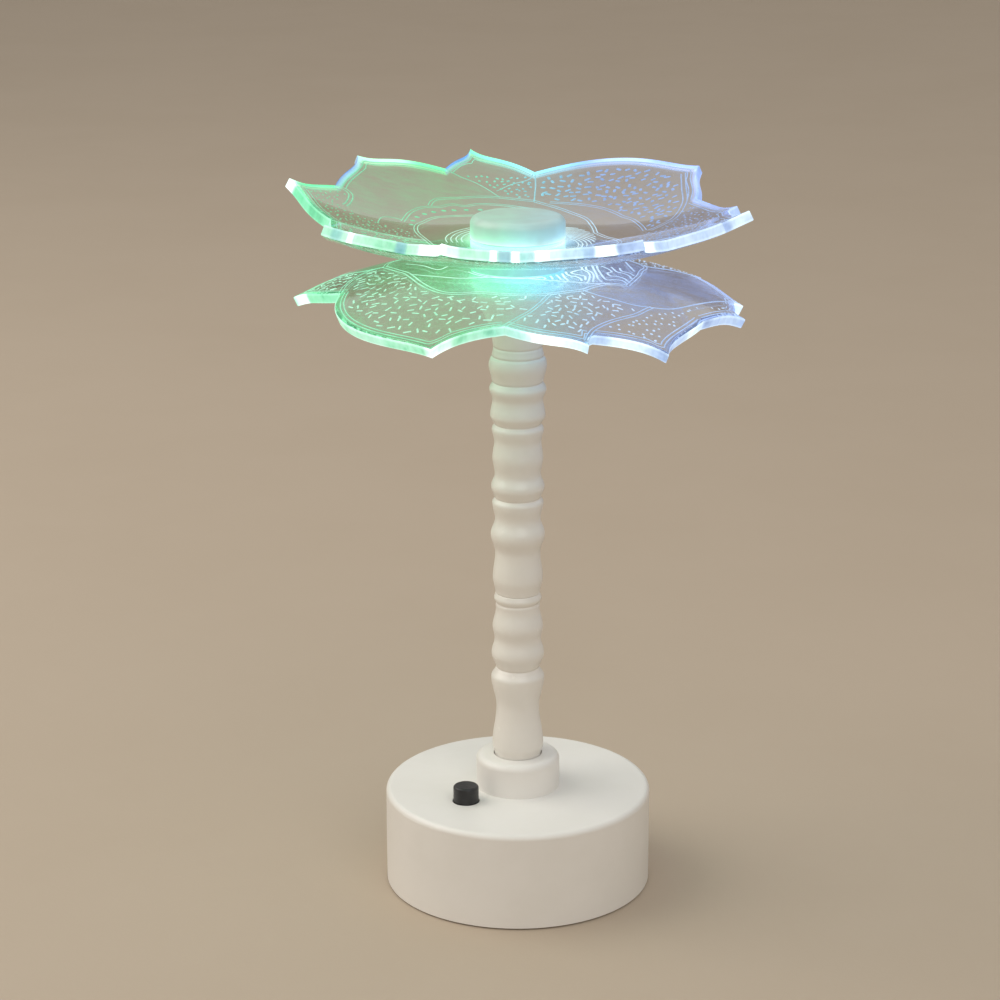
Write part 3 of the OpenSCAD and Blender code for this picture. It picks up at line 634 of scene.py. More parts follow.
def clear_sheet(name):
    """Clear sheet: glass with a little coloured haze, more where it is frosted and near the LEDs, and a
    painted glow in the ring inside the rim, which stands for the lit edge seen through the sheet and is
    stronger at the back. The glass's own colour takes on a painted tint of the LEDs' light where it is hazy
    or dull and in the ring."""
    material, tree, shader = new_material(name, Metallic=0.0, IOR=1.49, Transmission_Weight=1.0,
                                          Emission_Strength=1.0)
    place = object_place(tree)
    frost, near, rim = (attribute(tree, value) for value in ("frost", "near_led", "rim"))
    matt, front, beam = (attribute(tree, value) for value in ("matt", "front", "beam"))
    cool = times(tree, attribute(tree, "cool"), rim)
    stretch = [("Vector", place), ("Rotation", (0, 0, 0.6)), ("Scale", (1, 2.6, 1))]
    streaks = noise(tree, add(tree, "ShaderNodeMapping", stretch).outputs[0], 110.0, 6.0, 0.68)
    grain = noise(tree, place, 1500.0, 2.0, 0.6)
    veil = times(tree, frost, span(tree, streaks, 0.40, 0.68))
    speck = times(tree, span(tree, grain, 0.54, 0.70), times(tree, matt, 1.3))
    # painted light: the ring's glow stands for the lit edge seen through the sheet, stronger at the back
    # than the front
    ring = span(tree, rim, 0.05, 0.6, smooth=True)
    ring_light = times(tree, ring, span(tree, front, 0.2, 0.7, 0.62, 0.08))
    ring_light = times(tree, ring_light, span(tree, cool, 0.0, 1.0, 1.0, 0.45))
    ring_white = times(tree, ring, span(tree, beam, 0.0, 1.0, 0.05, 0.7))
    level = plus(tree, plus(tree, veil, speck), plus(tree, near, ring_light))
    white = plus(tree, span(tree, near, 0.2, 0.8, 0.0, 0.6), ring_white, clamp=True)
    light = led_light(tree, cool, white)
    shine(tree, shader, light, level)
    dull = plus(tree, matt, veil)
    feed(tree, shader.inputs["Roughness"], span(tree, dull, 0.0, 1.0, 0.015, 0.6))
    # painted tint: the glass's own colour takes on the LEDs' light where it is hazy or dull and in the ring
    painted_light_tint = span(tree, plus(tree, dull, times(tree, ring, 0.2)), 0.0, 0.22, 0.05, 0.55)
    feed(tree, shader.inputs["Base Color"], blend(tree, painted_light_tint, (0.96, 0.99, 0.99, 1), light))
    # light goes through the sheet instead of casting a solid shadow
    clear = add(tree, "ShaderNodeBsdfTransparent", [("Color", (0.90, 0.95, 0.95, 1))]).outputs[0]
    shadow = add(tree, "ShaderNodeLightPath").outputs["Is Shadow Ray"]
    mix = add(tree, "ShaderNodeMixShader", [(0, shadow), (1, shader.outputs[0]), (2, clear)]).outputs[0]
    feed(tree, tree.nodes["Material Output"].inputs["Surface"], mix)
    return material


def lit_edge(name):
    """Cut edge of a sheet that the LEDs shine out of: patches and upright cuts, bright lines along both
    corners, and white where a beam comes out."""
    material, tree, shader = new_material(name, Roughness=0.3, Emission_Strength=1.0)
    place = object_place(tree)
    across, beam, cool, front = (attribute(tree, value) for value in ("across", "beam", "cool", "front"))
    middle = math_node(tree, "ABSOLUTE", math_node(tree, "SUBTRACT", across, 0.5))
    lines = span(tree, middle, 0.3, 0.5, smooth=True)
    upright = add(tree, "ShaderNodeMapping", [("Vector", place), ("Scale", (900, 900, 120))]).outputs[0]
    cuts = noise(tree, upright, 1.0, 2.0, 0.6)
    patch = noise(tree, place, 90.0, 3.0, 0.6)
    level = times(tree, span(tree, patch, 0.33, 0.47, 0.66, 0.9), span(tree, cuts, 0.25, 0.75, 0.86, 1.1))
    level = plus(tree, level, times(tree, lines, 0.15))
    level = times(tree, level, span(tree, cool, 0.0, 1.0, 1.0, 0.6))
    level = plus(tree, level, times(tree, beam, 0.6))
    pale = plus(tree, span(tree, patch, 0.33, 0.58, 0.22, 0.55), times(tree, lines, 0.12))
    pale = times(tree, pale, span(tree, front, 0.3, 0.75, 0.15, 1.0))
    pale = times(tree, pale, span(tree, cool, 0.0, 1.0, 1.0, 0.2))
    light = led_light(tree, cool, plus(tree, beam, pale, clamp=True))
    shine(tree, shader, light, level)
    tinted(tree, shader, light, (0.16, 0.18, 0.18))
    return material


def engraved(name, strength, white):
    """Engraved cut: a frosted groove that scatters the coloured light of the sheet, whiter near the LEDs."""
    material, tree, shader = new_material(name, Roughness=0.6, Emission_Strength=1.0)
    place = object_place(tree)
    flat = vector_node(tree, "MULTIPLY", [(0, place), (1, (1, 1, 0))]).outputs[0]
    reach = vector_node(tree, "LENGTH", [(0, flat)]).outputs["Value"]
    near = span(tree, reach, 0.014, 0.042, 1.0, 0.0, smooth=True)
    uneven = span(tree, noise(tree, place, 260.0), 0.3, 0.7, 0.7, 1.05)
    level = times(tree, uneven, span(tree, near, 0.0, 1.0, strength, strength * 1.5))
    light = led_light(tree, white=span(tree, near, 0.0, 1.0, white, white + 0.45))
    shine(tree, shader, light, level)
    tinted(tree, shader, light, (0.30, 0.32, 0.32))
    return material


def lit_white(name, low, high, strength, all_over):
    """Milky white plastic with the LEDs' light in it, strongest at its foot. Its colour is painted a dim
    grey-green, the LEDs' tint and shade, in place of the plastic's white.
    """
    material, tree, shader = new_material(name, Emission_Strength=1.0)
    # painted light and shade: the white plastic's colour is set to a dim grey-green tinted by the LEDs
    dress(tree, shader, skin(tree, (0.47, 0.55, 0.52), (0.43, 0.51, 0.48), 0.34, 0.15, 60.0), 0.35, 0.00002)
    place = object_place(tree)
    fade = math_node(tree, "POWER", span(tree, along_axis(tree, place, 2), low, high, 1.0, 0.0), 2.2)
    cloud = span(tree, noise(tree, place, 90.0, 2.0), 0.35, 0.65, 0.7, 1.3)
    level = times(tree, span(tree, fade, 0.0, 1.0, all_over, strength), cloud)
    white = times(tree, math_node(tree, "POWER", fade, 3.0), 0.7)
    shine(tree, shader, led_light(tree, white=white), level)
    return material


def glowing(name, shade, gloss, strength, white=0.45):
    """A lit piece: clear or milky plastic full of the LEDs' light, with a cloudy level."""
    material, tree, shader = new_material(name, Roughness=gloss, Emission_Strength=1.0)
    cloud = noise(tree, object_place(tree), 300.0)
    light = led_light(tree, white=white)
    shine(tree, shader, light, span(tree, cloud, 0.3, 0.7, strength * 0.85, strength * 1.1))
    tinted(tree, shader, light, shade)
    return material


def board_finish(name):
    """Circuit board: green lacquer with lighter copper tracks on a square grid."""
    material, tree, shader = new_material(name)
    lacquer = skin(tree, (0.02, 0.16, 0.06), (0.03, 0.22, 0.09), 0.3, 0.1, 150.0)
    tracks = add(tree, "ShaderNodeTexBrick", [
        ("Vector", object_place(tree)), ("Scale", 260.0), ("Color1", (0, 0, 0, 1)), ("Color2", (0, 0, 0, 1)),
        ("Mortar", (1, 1, 1, 1)), ("Mortar Size", 0.05)]).outputs[0]
    feed(tree, shader.inputs["Base Color"], blend(tree, tracks, lacquer["Colour"], (0.10, 0.34, 0.14, 1)))
    feed(tree, shader.inputs["Roughness"], lacquer["Roughness"])
    bump(tree, shader, tracks, 0.3, 0.00004)
    return material


def cell_finish(name):
    """Cell sleeve: dark film with a copper band towards each end."""
    material, tree, shader = new_material(name, Metallic=0.6)
    film = skin(tree, (0.03, 0.035, 0.04), (0.05, 0.055, 0.06), 0.3, 0.12, 120.0)
    along = math_node(tree, "ABSOLUTE", along_axis(tree, object_place(tree), 0))
    band = span(tree, along, 0.0125, 0.0130)
    feed(tree, shader.inputs["Base Color"], blend(tree, band, film["Colour"], (0.62, 0.36, 0.18, 1)))
    feed(tree, shader.inputs["Roughness"], film["Roughness"])
    bump(tree, shader, film["Height"], 0.2, 0.00002)
    return material


CLEAR = clear_sheet("clear_acrylic")
EDGE = lit_edge("lit_edge")
UPPER_CUT = engraved("upper_cut_line", 0.62, 0.30)
LOWER_CUT = engraved("lower_cut_line", 0.80, 0.34)
UPPER_NICK = engraved("upper_nick", 0.62, 0.16)
LOWER_NICK = engraved("lower_nick", 0.92, 0.48)
COLUMN_WHITE = skinned("column_white", (0.84, 0.82, 0.77), (0.81, 0.785, 0.73), 0.26, 0.08, 45.0,
                       depth=0.000002)
SPRING = plated("spring_steel", (0.70, 0.69, 0.67), (0.55, 0.54, 0.52), 0.22)


def finish(material, *nodes):
    """A material on the solids that stay as they are."""
    for node in nodes:
        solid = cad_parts[node].data
        solid.materials.clear()
        solid.materials.append(material)


finish(skinned("white_plastic", (0.84, 0.82, 0.78), (0.81, 0.79, 0.745), 0.40, 0.18, 40.0, depth=0.000006),
       "base_shell", "bottom_cover", "battery_door")
finish(lit_white("lit_cap_white", 0.1988, 0.2056, 0.7, 0.22), "top_cap")
finish(lit_white("lit_carrier_white", 0.186, 0.200, 0.9, 0.3), "led_carrier")
finish(skinned("black_plastic", (0.012, 0.012, 0.013), (0.03, 0.03, 0.032), 0.42, 0.3, 200.0), "button_cap")
finish(skinned("switch_plastic", (0.10, 0.10, 0.105), (0.14, 0.14, 0.145), 0.5), "switch_body")
finish(skinned("plunger_plastic", (0.78, 0.74, 0.62), (0.72, 0.67, 0.54)), "switch_plunger")
finish(skinned("foot_rubber", (0.045, 0.045, 0.046), (0.07, 0.07, 0.07), 0.75, 0.2, 160.0),
       "rubber_feet", "door_pad")
finish(plated("plated_steel", (0.62, 0.62, 0.63), (0.48, 0.48, 0.49)),
       "column_nut", "column_washer", "threaded_tube")
finish(plated("screw_steel", (0.52, 0.52, 0.53), (0.40, 0.40, 0.41), 0.35, 9000.0),
       "cover_screws", "board_screws")
finish(SPRING, "battery_springs", "contact_plates")
finish(plated("insert_brass", (0.80, 0.60, 0.26), (0.66, 0.47, 0.18), 0.26), "cap_insert")
finish(skinned("lead_black", (0.02, 0.02, 0.02), (0.035, 0.035, 0.035), 0.5, 0.2, 400.0),
       "battery_lead", "lead_black")
finish(skinned("lead_red", (0.55, 0.035, 0.03), (0.42, 0.03, 0.025), 0.5, 0.2, 400.0), "lead_red")
finish(skinned("chip_black", (0.02, 0.02, 0.021), (0.03, 0.03, 0.03), 0.6, 0.2, 500.0), "driver_chip")
finish(skinned("resistor_ceramic", (0.05, 0.05, 0.06), (0.09, 0.09, 0.10), 0.45, 0.2, 800.0),
       "board_resistors")
finish(skinned("capacitor_sleeve", (0.03, 0.05, 0.14), (0.05, 0.07, 0.18), 0.35, 0.2, 500.0),
       "board_capacitor")
finish(skinned("strip_film", (0.80, 0.80, 0.77), (0.74, 0.74, 0.70), 0.4, 0.2, 400.0), "led_strip")
finish(board_finish("board_laminate"), "control_board")
finish(cell_finish("cell_sleeve"), "battery_cells")
finish(glowing("soft_clear", (0.4, 0.4, 0.4), 0.5, 0.6), "soft_washer")
finish(glowing("frosted_spacer", (0.15, 0.15, 0.15), 0.35, 0.75, 0.2), "plate_spacer")
finish(glowing("clear_lens", (0.4, 0.4, 0.4), 0.15, 1.2), "lens_tube")
finish(glowing("led_package", (0.7, 0.7, 0.7), 0.25, 3.0), "leds_lower", "leds_upper")

# Plates
upper_plate = make_plate("upper_plate_sheet", "upper_plate", UPPER_PETALS, True, [CLEAR, EDGE])
lower_plate = make_plate("lower_plate_sheet", "lower_plate", LOWER_PETALS, False, [CLEAR, EDGE])

# Lower plate's lines, in plan: the inner flower, then the petals' sides from valley to flower
L_FLOWER = [(-39, 13.5), (-35, 3.7), (-32, -2.2), (-30.2, -7.6), (-27.5, -15.6), (-24.1, -22.4),
            (-20.4, -26.5), (-16, -28.2), (-10.9, -28.2), (-7, -29.3), (-2.7, -30.6), (4.4, -30.7),
            (8.9, -29.6), (13.5, -27.3), (18.2, -24.7), (21, -21.3), (25.4, -17.2), (31, -16.4)]
L_FLOWER_BACK = [(31, -16.4), (34.3, -5), (35.5, 2.4), (37, 12), (31, 22), (25, 33), (13, 34), (4, 40),
                 (-8, 35), (-20, 37), (-27, 28), (-37, 24), (-39, 13.5)]
L_LEFT = [(-50.7, -8.9), (-49.7, -2), (-47.6, 4.9), (-45.2, 10), (-42.5, 13), (-39.2, 13.7)]
L_LEFT_BACK = [(-54.4, 23), (-50, 20), (-45.8, 15.5), (-42, 13.6), (-39.2, 13.7)]
L_12 = [(-3.7, -50.2), (-0.3, -46.3), (3.3, -42), (6, -37.1), (7.7, -32.9), (8.9, -30)]
L_23 = [(18.4, -55.4), (20.3, -50), (24.1, -45.2), (28.7, -40.9), (32.5, -37.4), (35.5, -33), (37.2, -30.4)]
L_34 = [(18.8, -25.5), (22.7, -28.1), (27.3, -29.9), (31.8, -31.3), (36.5, -30.8), (41.2, -29.3),
        (45, -26.2), (51.1, -18.1), (57, -9.5), (61.7, -3)]
L_BACK = [[(53.4, 21.6), (47, 19), (42, 15), (37, 12)], [(14, 55), (13, 47), (9, 41), (4, 40)],
          [(-21.6, 53.8), (-20, 47), (-21, 42), (-20, 37)]]
L_FRONT = [(-30.6, -4.6), (-25.4, -8.8), (-16.2, -13.9), (-7.7, -13.4), (0, -14.5), (7.1, -16.5),
           (13.7, -17.8), (21.1, -18.2), (26, -16.6)]
L_CURL = [(-32.6, 11.8), (-27.7, 5.6), (-22.9, -2), (-18.9, 2.5), (-14.2, -1.5)]
# Stripes of the inner flower's right side, which swing from side to side as they come to the front
L_STRIPES = [
    [(5.4, -14.2), (6.8, -13.8), (7.9, -14.6), (7.4, -16)], [(9.2, -11.8), (9.6, -13.6), (9.9, -16)],
    [(10.9, -10.2), (11.6, -13.1), (12.3, -16.2)], [(12.6, -8.6), (13.2, -13), (14.2, -16.7)],
    [(13.7, -6.4), (13.9, -8.9), (14.9, -11.3), (16.5, -12), (17.8, -14.1), (18, -16.4)],
    [(18.6, -2.9), (16.6, -4.8), (15.2, -7.5), (17, -9.5), (19, -11), (19.1, -14.9)],
    [(18.3, 1), (18.6, -3), (20, -5.9), (20.5, -10.1), (20, -15.7), (19.4, -18)],
    [(19.6, 1.5), (19.7, -2.8), (20.9, -5.3), (21.6, -9.8), (21.2, -16.7)],
    [(21.4, 3), (21.8, -1.6), (22.4, -8.4), (22.8, -13), (23.8, -16.2)],
    [(22.8, 3), (23, -1.6), (24, -9), (25.1, -13.1), (27.3, -12.2), (29.7, -12.2), (30.8, -14.6)],
    [(24.2, 3), (26, -0.1), (26.9, -3.4), (25.6, -5.4), (26.3, -8.2), (28.6, -8.3), (30.3, -9.7),
     (31.3, -12.4)],
    [(27, 3), (27.6, 0.2), (28.5, -2.9), (30.1, -3.5), (31.7, -5.5), (32.4, -8.7)],
    [(29.4, 3), (29.8, -0.9), (32.1, -2.2), (33.2, -5)], [(31.6, 14), (32.2, 8.9), (33, 4.6), (33.6, 1)],
]
# Upper plate's lines, in plan
U_FLOWER = [(-33.6, 15), (-32, 23.9), (-29.4, 29.3), (-26.6, 31.8), (-23.3, 33), (-19.6, 36), (-15.8, 35.7),
            (-11.5, 38), (-4.4, 37.9), (3.3, 35.5)]
U_FLOWER_OUT = [(-26.2, 33.2), (-25.5, 36.5), (-23.5, 39), (-18.7, 40.9), (-11.6, 43.2), (-5.4, 43.4),
                (3.3, 41.5), (6.1, 40), (12, 34.9), (16.8, 29), (20.2, 23.5), (21.9, 15.2), (22.6, 6.9)]
U_HOOK = [(22.6, 6.9), (25.3, 0.4), (28, -4.6), (29, -9.3), (28.2, -13.1)]
U_INNER = [(-24, -12), (-26, -4.6), (-29, 4.9), (-29.5, 12.4), (-27.6, 17.6), (-24.9, 22.7), (-20.8, 25.6),
           (-13.8, 28.1), (-5, 29.5), (4, 29)]
U_RIGHT = [(9.6, 39.6), (13.5, 38.4), (19.4, 35.9), (25.2, 31.3), (29, 25.5), (30.8, 21.6), (33.6, 16.8),
           (35.6, 9.1), (36.5, 2.1)]
U_FLANK = [(49.6, 42), (49.3, 32.3), (49, 22), (45.8, 10.5), (41.7, 4.9), (37.7, 1.1)]
U_LEFT = [(-53.6, 30.6), (-50.4, 29.4), (-49.2, 26.6), (-49.6, 20.8), (-50.5, 16.9)]
U_BACK_LEFT = [(-21.9, 57.5), (-17.5, 54.5), (-12.7, 51.8), (-8.8, 48), (-5.4, 43.6)]
U_BACK = [(4.6, 57.5), (3.3, 54.6), (-2, 51.8), (-6.3, 47.7)]
U_BACK_RIGHT = [(5.2, 58), (5.4, 52), (5.2, 47), (4.9, 40.7)]
U_FRONT = [(28.2, -13.1), (27, -21), (18, -25), (11, -33), (0, -31), (-11, -35), (-17, -27), (-26, -24),
           (-24, -12)]
U_SMALL = [(-40.5, 8), (-40.3, 11), (-39.6, 15.2), (-36.9, 17.1), (-34.1, 16.4)]
U_SIDES = [[(-53, -4.5), (-46, -4), (-38, -4.5), (-26, -5)],
           [(-29, -55.5), (-27.6, -47), (-24, -35), (-17, -27)],
           [(0.2, -59.4), (0.2, -50), (3, -40), (0, -31)], [(40, -44.6), (34, -36), (28, -28), (27, -21)],
           [(53, -28), (45, -22), (36, -17), (28.2, -13.1)]]
U_BEADS = [(-31, 13), (-30.2, 20), (-27, 26), (-22.5, 30), (-17.5, 32), (-11, 33.6), (-4, 33.6)]

# Fields between the lines, as polygons that run out past the plate's edge
AWAY = 90
FIELD = {
    "lower_front_left": L_LEFT + L_FLOWER[1:13] + L_12[::-1] + [(-3.7, -AWAY), (-AWAY, -AWAY), (-AWAY, -9)],
    "lower_second": L_12 + L_FLOWER[13:15] + L_34[:5] + L_23[::-1] + [(18.4, -AWAY), (-3.7, -AWAY)],
    "lower_third": L_23 + L_34[5:] + [(AWAY, -3), (AWAY, -AWAY), (18.4, -AWAY)],
    "lower_left": L_LEFT_BACK + L_LEFT[::-1] + [(-AWAY, -9), (-AWAY, 30), (-54.4, 23)],
    "lower_back_right": L_34 + [(AWAY, 0), (AWAY, 21), (53.4, 21.6), (42, 15), (37, 12), (35.5, 2.4),
                                (31, -16.4)],
    "lower_back_left": [(-54.4, 23), (-42, 13.6), (-37, 24), (-20, 37), (-21.6, 53.8), (-30, AWAY),
                        (-AWAY, 40)],
    "lower_back": L_BACK[1] + [(-8, 35), (-20, 37), (-21, 42), (-21.6, 53.8), (-25, AWAY), (16, AWAY)],
    "lower_far_right": L_BACK[0] + [(25, 33), (4, 40), (9, 41), (14, 55), (20, AWAY), (AWAY, 40)],
    "lower_flower": L_FLOWER + L_FLOWER_BACK,
    "upper_back_right": U_BACK_RIGHT + U_RIGHT + U_FLANK[::-1] + [(60, 60), (40, AWAY), (5, AWAY)],
    "upper_back": U_BACK_LEFT + [(3.3, 41.5)] + U_BACK_RIGHT[::-1] + [(5, AWAY), (-24, AWAY)],
    "upper_back_left": U_LEFT + [(-44, 13), (-33.4, 17.8), (-29.4, 29.3), (-25.5, 36.5), (-11.6, 43.4)]
    + U_BACK_LEFT[::-1] + [(-30, AWAY), (-AWAY, 60)],
    "upper_left": U_LEFT + [(-44, 12.4), (-39, 9), (-31, 7), (-28, 2), (-26, -5), (-38, -4.5), (-53, -4.5),
                            (-AWAY, -6), (-AWAY, 40)],
    "upper_right": U_FLANK[2:] + [(33, -7), (28.2, -13.1), (36, -17), (45, -22), (53, -28), (AWAY, -40),
                                  (AWAY, 22)],
    "upper_front_left": U_SIDES[0] + [(-26, -24), (-17, -27)] + U_SIDES[1][::-1]
    + [(-50, -AWAY), (-AWAY, -6)],
    "upper_front": U_SIDES[1] + [(-11, -35), (0, -31)] + U_SIDES[2][::-1] + [(-3, -AWAY), (-50, -AWAY)],
    "upper_front_right": U_SIDES[2] + [(11, -33), (18, -25), (27, -21)] + U_SIDES[3][::-1]
    + [(45, -AWAY), (-3, -AWAY)],
}

# Light in the plates
# One row a bump round the plate: angle, half width and height
UPPER_BEAMS = [(249.6, 3.4, 1.0), (254, 2.0, 0.3), (264.0, 0.8, 0.8), (269.4, 1.0, 0.9), (275.8, 1.6, 0.9),
               (278, 2.6, 0.22), (291.2, 2.6, 1.1), (303.6, 2.6, 0.6), (228.6, 0.8, 0.6), (163.0, 1.6, 0.8),
               (127, 8, 0.45), (62, 8, 0.25), (340, 3, 0.4)]
UPPER_COOL = [(225, 1.5, 0.35), (241.2, 1.3, 0.5), (266.8, 1.7, 0.5)]
LOWER_BEAMS = [(279, 9, 0.35), (278, 4, 0.35), (249, 3, 0.45), (300, 5, 0.3), (325, 5, 0.3), (171, 2.5, 0.7),
               (358, 3, 0.4)]
# One row a field: its name, haze and dullness
UPPER_FROST = [("upper_back_left", 0.09, 0.03), ("upper_right", 0.07, 0.04)]
LOWER_FROST = [("lower_flower", 0.07, 0.22), ("lower_back_right", 0.13, 0.10),
               ("lower_back_left", 0.13, 0.10), ("lower_second", 0.08, 0.05),
               ("lower_front_left", 0.06, 0.05)]
LOBE_POWER = 6
COOL_FROM = 92
COOL_TO = 160
CLEAR_GLOW = 0.015
CLEAR_HAZE = 0.04


def lobes(angles, bumps):
    """Sum of flat-topped bumps round the plate, each a high power of the distance under an exponential."""
    total = np.zeros_like(angles)
    for at, wide, high in bumps:
        off = (angles - at + 180) % 360 - 180
        total += high * np.exp(-np.abs(off / wide) ** LOBE_POWER)
    return total


def light_values(plate, hub, glow, fade, beams, cool_spots, frosted):
    """What the LEDs do to each point: beams on the edge, the side that faces the front, cool flanks, light
    that fades out from the hub, and frosted fields."""
    piece, angles, radius = plate["piece"], plate["angles"], plate["radius"]
    cols = radius.shape[1]
    point_values(piece, "beam", np.repeat(lobes(angles, beams), cols))
    point_values(piece, "front", np.repeat(0.5 - 0.5 * np.sin(np.radians(angles)), cols))
    cool = plate["falling"] & (angles > COOL_FROM) & (angles < COOL_TO)
    point_values(piece, "cool", np.repeat(cool + lobes(angles, cool_spots), cols))
    point_values(piece, "near_led", glow * np.exp(-np.maximum(radius - hub, 0) / fade) + CLEAR_GLOW)
    frost = np.full(radius.size, CLEAR_HAZE)
    matt = np.zeros(radius.size)
    flat = plate["points"][..., :2].reshape(-1, 2)
    for name, haze, dull in frosted:
        field = inside(flat, FIELD[name])
        frost = np.where(field, haze, frost)
        matt = np.where(field, dull, matt)
    point_values(piece, "frost", frost)
    point_values(piece, "matt", matt)


light_values(upper_plate, hub=HUB_R, glow=0.4, fade=2.5, beams=UPPER_BEAMS, cool_spots=UPPER_COOL,
             frosted=UPPER_FROST)
light_values(lower_plate, hub=BORE_R, glow=0.2, fade=8.0, beams=LOWER_BEAMS, cool_spots=[],
             frosted=LOWER_FROST)

# Cut lines
upper_lines = border_paths(UPPER_PETALS, 1.9) + border_paths(UPPER_PETALS, 3.0)
for knots in (U_FLOWER, U_FLOWER_OUT, U_HOOK, U_INNER, U_RIGHT, U_FRONT, *U_SIDES):
    upper_lines += double(knots)
upper_lines += double(U_FLANK, 0.42, 1.3) + double(U_LEFT, 0.42, 1.2)
for knots in (U_BACK_LEFT, U_BACK, U_BACK_RIGHT, U_SMALL):
    upper_lines += single(knots)
for turn, radius in enumerate((16.2, 17.7, 19.2, 20.7)):
    upper_lines += arc(radius, 112 - 4 * turn, 196, 0.4)
for angle in np.arange(2, 92, 8.5):
    upper_lines += spiral(angle, 14.9, 22.4, 6.5, 0.5)
make_lines("upper_engraved_lines", True, upper_lines, UPPER_CUT, "upper_plate")

lower_lines = border_paths(LOWER_PETALS, 1.7) + border_paths(LOWER_PETALS, 2.7)
lower_lines += double(L_FLOWER, 0.55, 1.25)
for knots in (L_FLOWER_BACK, L_LEFT, L_LEFT_BACK, L_12, L_23, *L_BACK):
    lower_lines += double(knots)
lower_lines += single(L_34, 0.6) + single(L_FRONT, 0.75) + single(L_CURL, 0.6)
for radius in (12.9, 14.2, 15.5):
    lower_lines += arc(radius, 205, 300, 0.45)
for knots in L_STRIPES:
    lower_lines += single(knots, 0.75)
for angle in (22, 31, 40):
    lower_lines += wave(angle, 15.2, 28, 0.75)
make_lines("lower_engraved_lines", False, lower_lines, LOWER_CUT, "lower_plate")

# Dashes, dots and beads
# One row a field: its name, then the marks' pitch, length, width, inset from the edge and gap to the lines
UPPER_MARKS = [("upper_back_right", 3.0, 2.0, 1.0, 4.8, 1.9), ("upper_back", 2.3, 1.1, 0.8, 3.6, 1.3),
               ("upper_left", 2.3, 0.75, 0.62, 4.0, 1.4), ("upper_right", 2.2, 0.75, 0.62, 4.0, 1.4),
               ("upper_front_left", 3.4, 2.3, 0.6, 4.4, 1.9), ("upper_front", 2.4, 0.75, 0.62, 4.0, 1.4),
               ("upper_front_right", 3.4, 2.3, 0.6, 4.4, 1.9)]
LOWER_MARKS = [("lower_front_left", 3.45, 2.2, 0.62, 4.4, 2.0), ("lower_second", 2.75, 1.9, 0.6, 4.2, 1.7),
               ("lower_third", 2.55, 0.85, 0.8, 4.2, 1.7), ("lower_left", 2.9, 1.9, 0.6, 3.8, 1.4),
               ("lower_back", 3.4, 2.2, 0.6, 4.4, 1.9), ("lower_far_right", 2.6, 0.8, 0.7, 4.2, 1.6)]
# The beads are every twentieth point of a path in fine steps
BEAD_FINE = 0.2
BEAD_EVERY = 20
BEAD_LENGTH = 1.7
BEAD_WIDTH = 1.5


def field_marks(petals, plan):
    """Centres, turns, lengths and widths of the marks in each field of a plate."""
    rows = []
    for field, pitch, length, width, inset, gap in plan:
        at = scattered(petals, FIELD[field], pitch, inset, gap)
        turn = rng.uniform(0, math.pi, len(at))
        long = np.maximum(length * rng.uniform(0.8, 1.15, len(at)), width)
        rows.append((at, turn, long, np.full(len(at), width)))
    return [np.concatenate(column) for column in zip(*rows)]


make_marks("upper_engraved_marks", True, *field_marks(UPPER_PETALS, UPPER_MARKS), UPPER_NICK, "upper_plate")
make_marks("lower_engraved_marks", False, *field_marks(LOWER_PETALS, LOWER_MARKS), LOWER_NICK, "lower_plate")
beads = smooth_path(U_BEADS, BEAD_FINE)[::BEAD_EVERY]
make_marks("upper_engraved_beads", True, beads, np.zeros(len(beads)), np.full(len(beads), BEAD_LENGTH),
           np.full(len(beads), BEAD_WIDTH), UPPER_NICK, "upper_plate")

# Column
GROOVES = np.array([27.7, 48.2, 80.8, 103.3, 116.0, 123.7, 126.5])
GROOVE_DEPTHS = np.array([0.32, 0.25, 0.32, 0.32, 0.35, 0.40, 0.25])
GROOVE_HALF = 0.38
GROOVE_STEPS = np.linspace(-2.2, 2.2, 13)
TURNING_STEP = 0.4
TURNING_SIDES = 128
SEAM_CLEAR = 0.25
# The rounded corner at the split: how far each point lies in from the column's side and off the split
SEAM_CORNER = [(0, 0.2), (0.15, 0.02), (SEAM_CLEAR, 0)]
CHAMFER = 0.4
BEVEL = 0.3
# Distance from a corner to the extra point that keeps it crisp under smooth shading
HOLD = 0.1


def eased_profile(knots, first, last):
    """Turned profile from one height to another: the radius swings from knot to knot along half a cosine
    wave, less a narrow bell-shaped cut at each groove."""
    near = (GROOVES[:, None] + GROOVE_HALF * GROOVE_STEPS).ravel()
    height = np.unique(np.concatenate([np.arange(first, last, TURNING_STEP), near, [last]]))
    height = height[(height >= first) & (height <= last)]
    row = np.clip(np.searchsorted(knots[:, 0], height, side="right") - 1, 0, len(knots) - 2)
    a, b = knots[row], knots[row + 1]
    t = (height - a[:, 0]) / (b[:, 0] - a[:, 0])
    radius = (a[:, 1] + b[:, 1]) / 2 + (a[:, 1] - b[:, 1]) / 2 * np.cos(np.pi * t)
    cut = GROOVE_DEPTHS * np.exp(-((height[:, None] - GROOVES) / GROOVE_HALF) ** 2)
    return np.stack([radius - cut.sum(axis=1), height + COLLAR_TOP], axis=-1)


def make_turning(name, profile, node):
    """A closed profile of radius and height carried round the upright axis."""
    turn = np.linspace(0, 2 * np.pi, TURNING_SIDES, endpoint=False)[:, None]
    points = carried_round(profile[None, :, 0], profile[None, :, 1], turn)
    quads = grid_quads(TURNING_SIDES, len(profile), wrap_rows=True)[:, ::-1]
    piece = make_piece(name, points, [quads], [COLUMN_WHITE], "base")
    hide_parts(node)


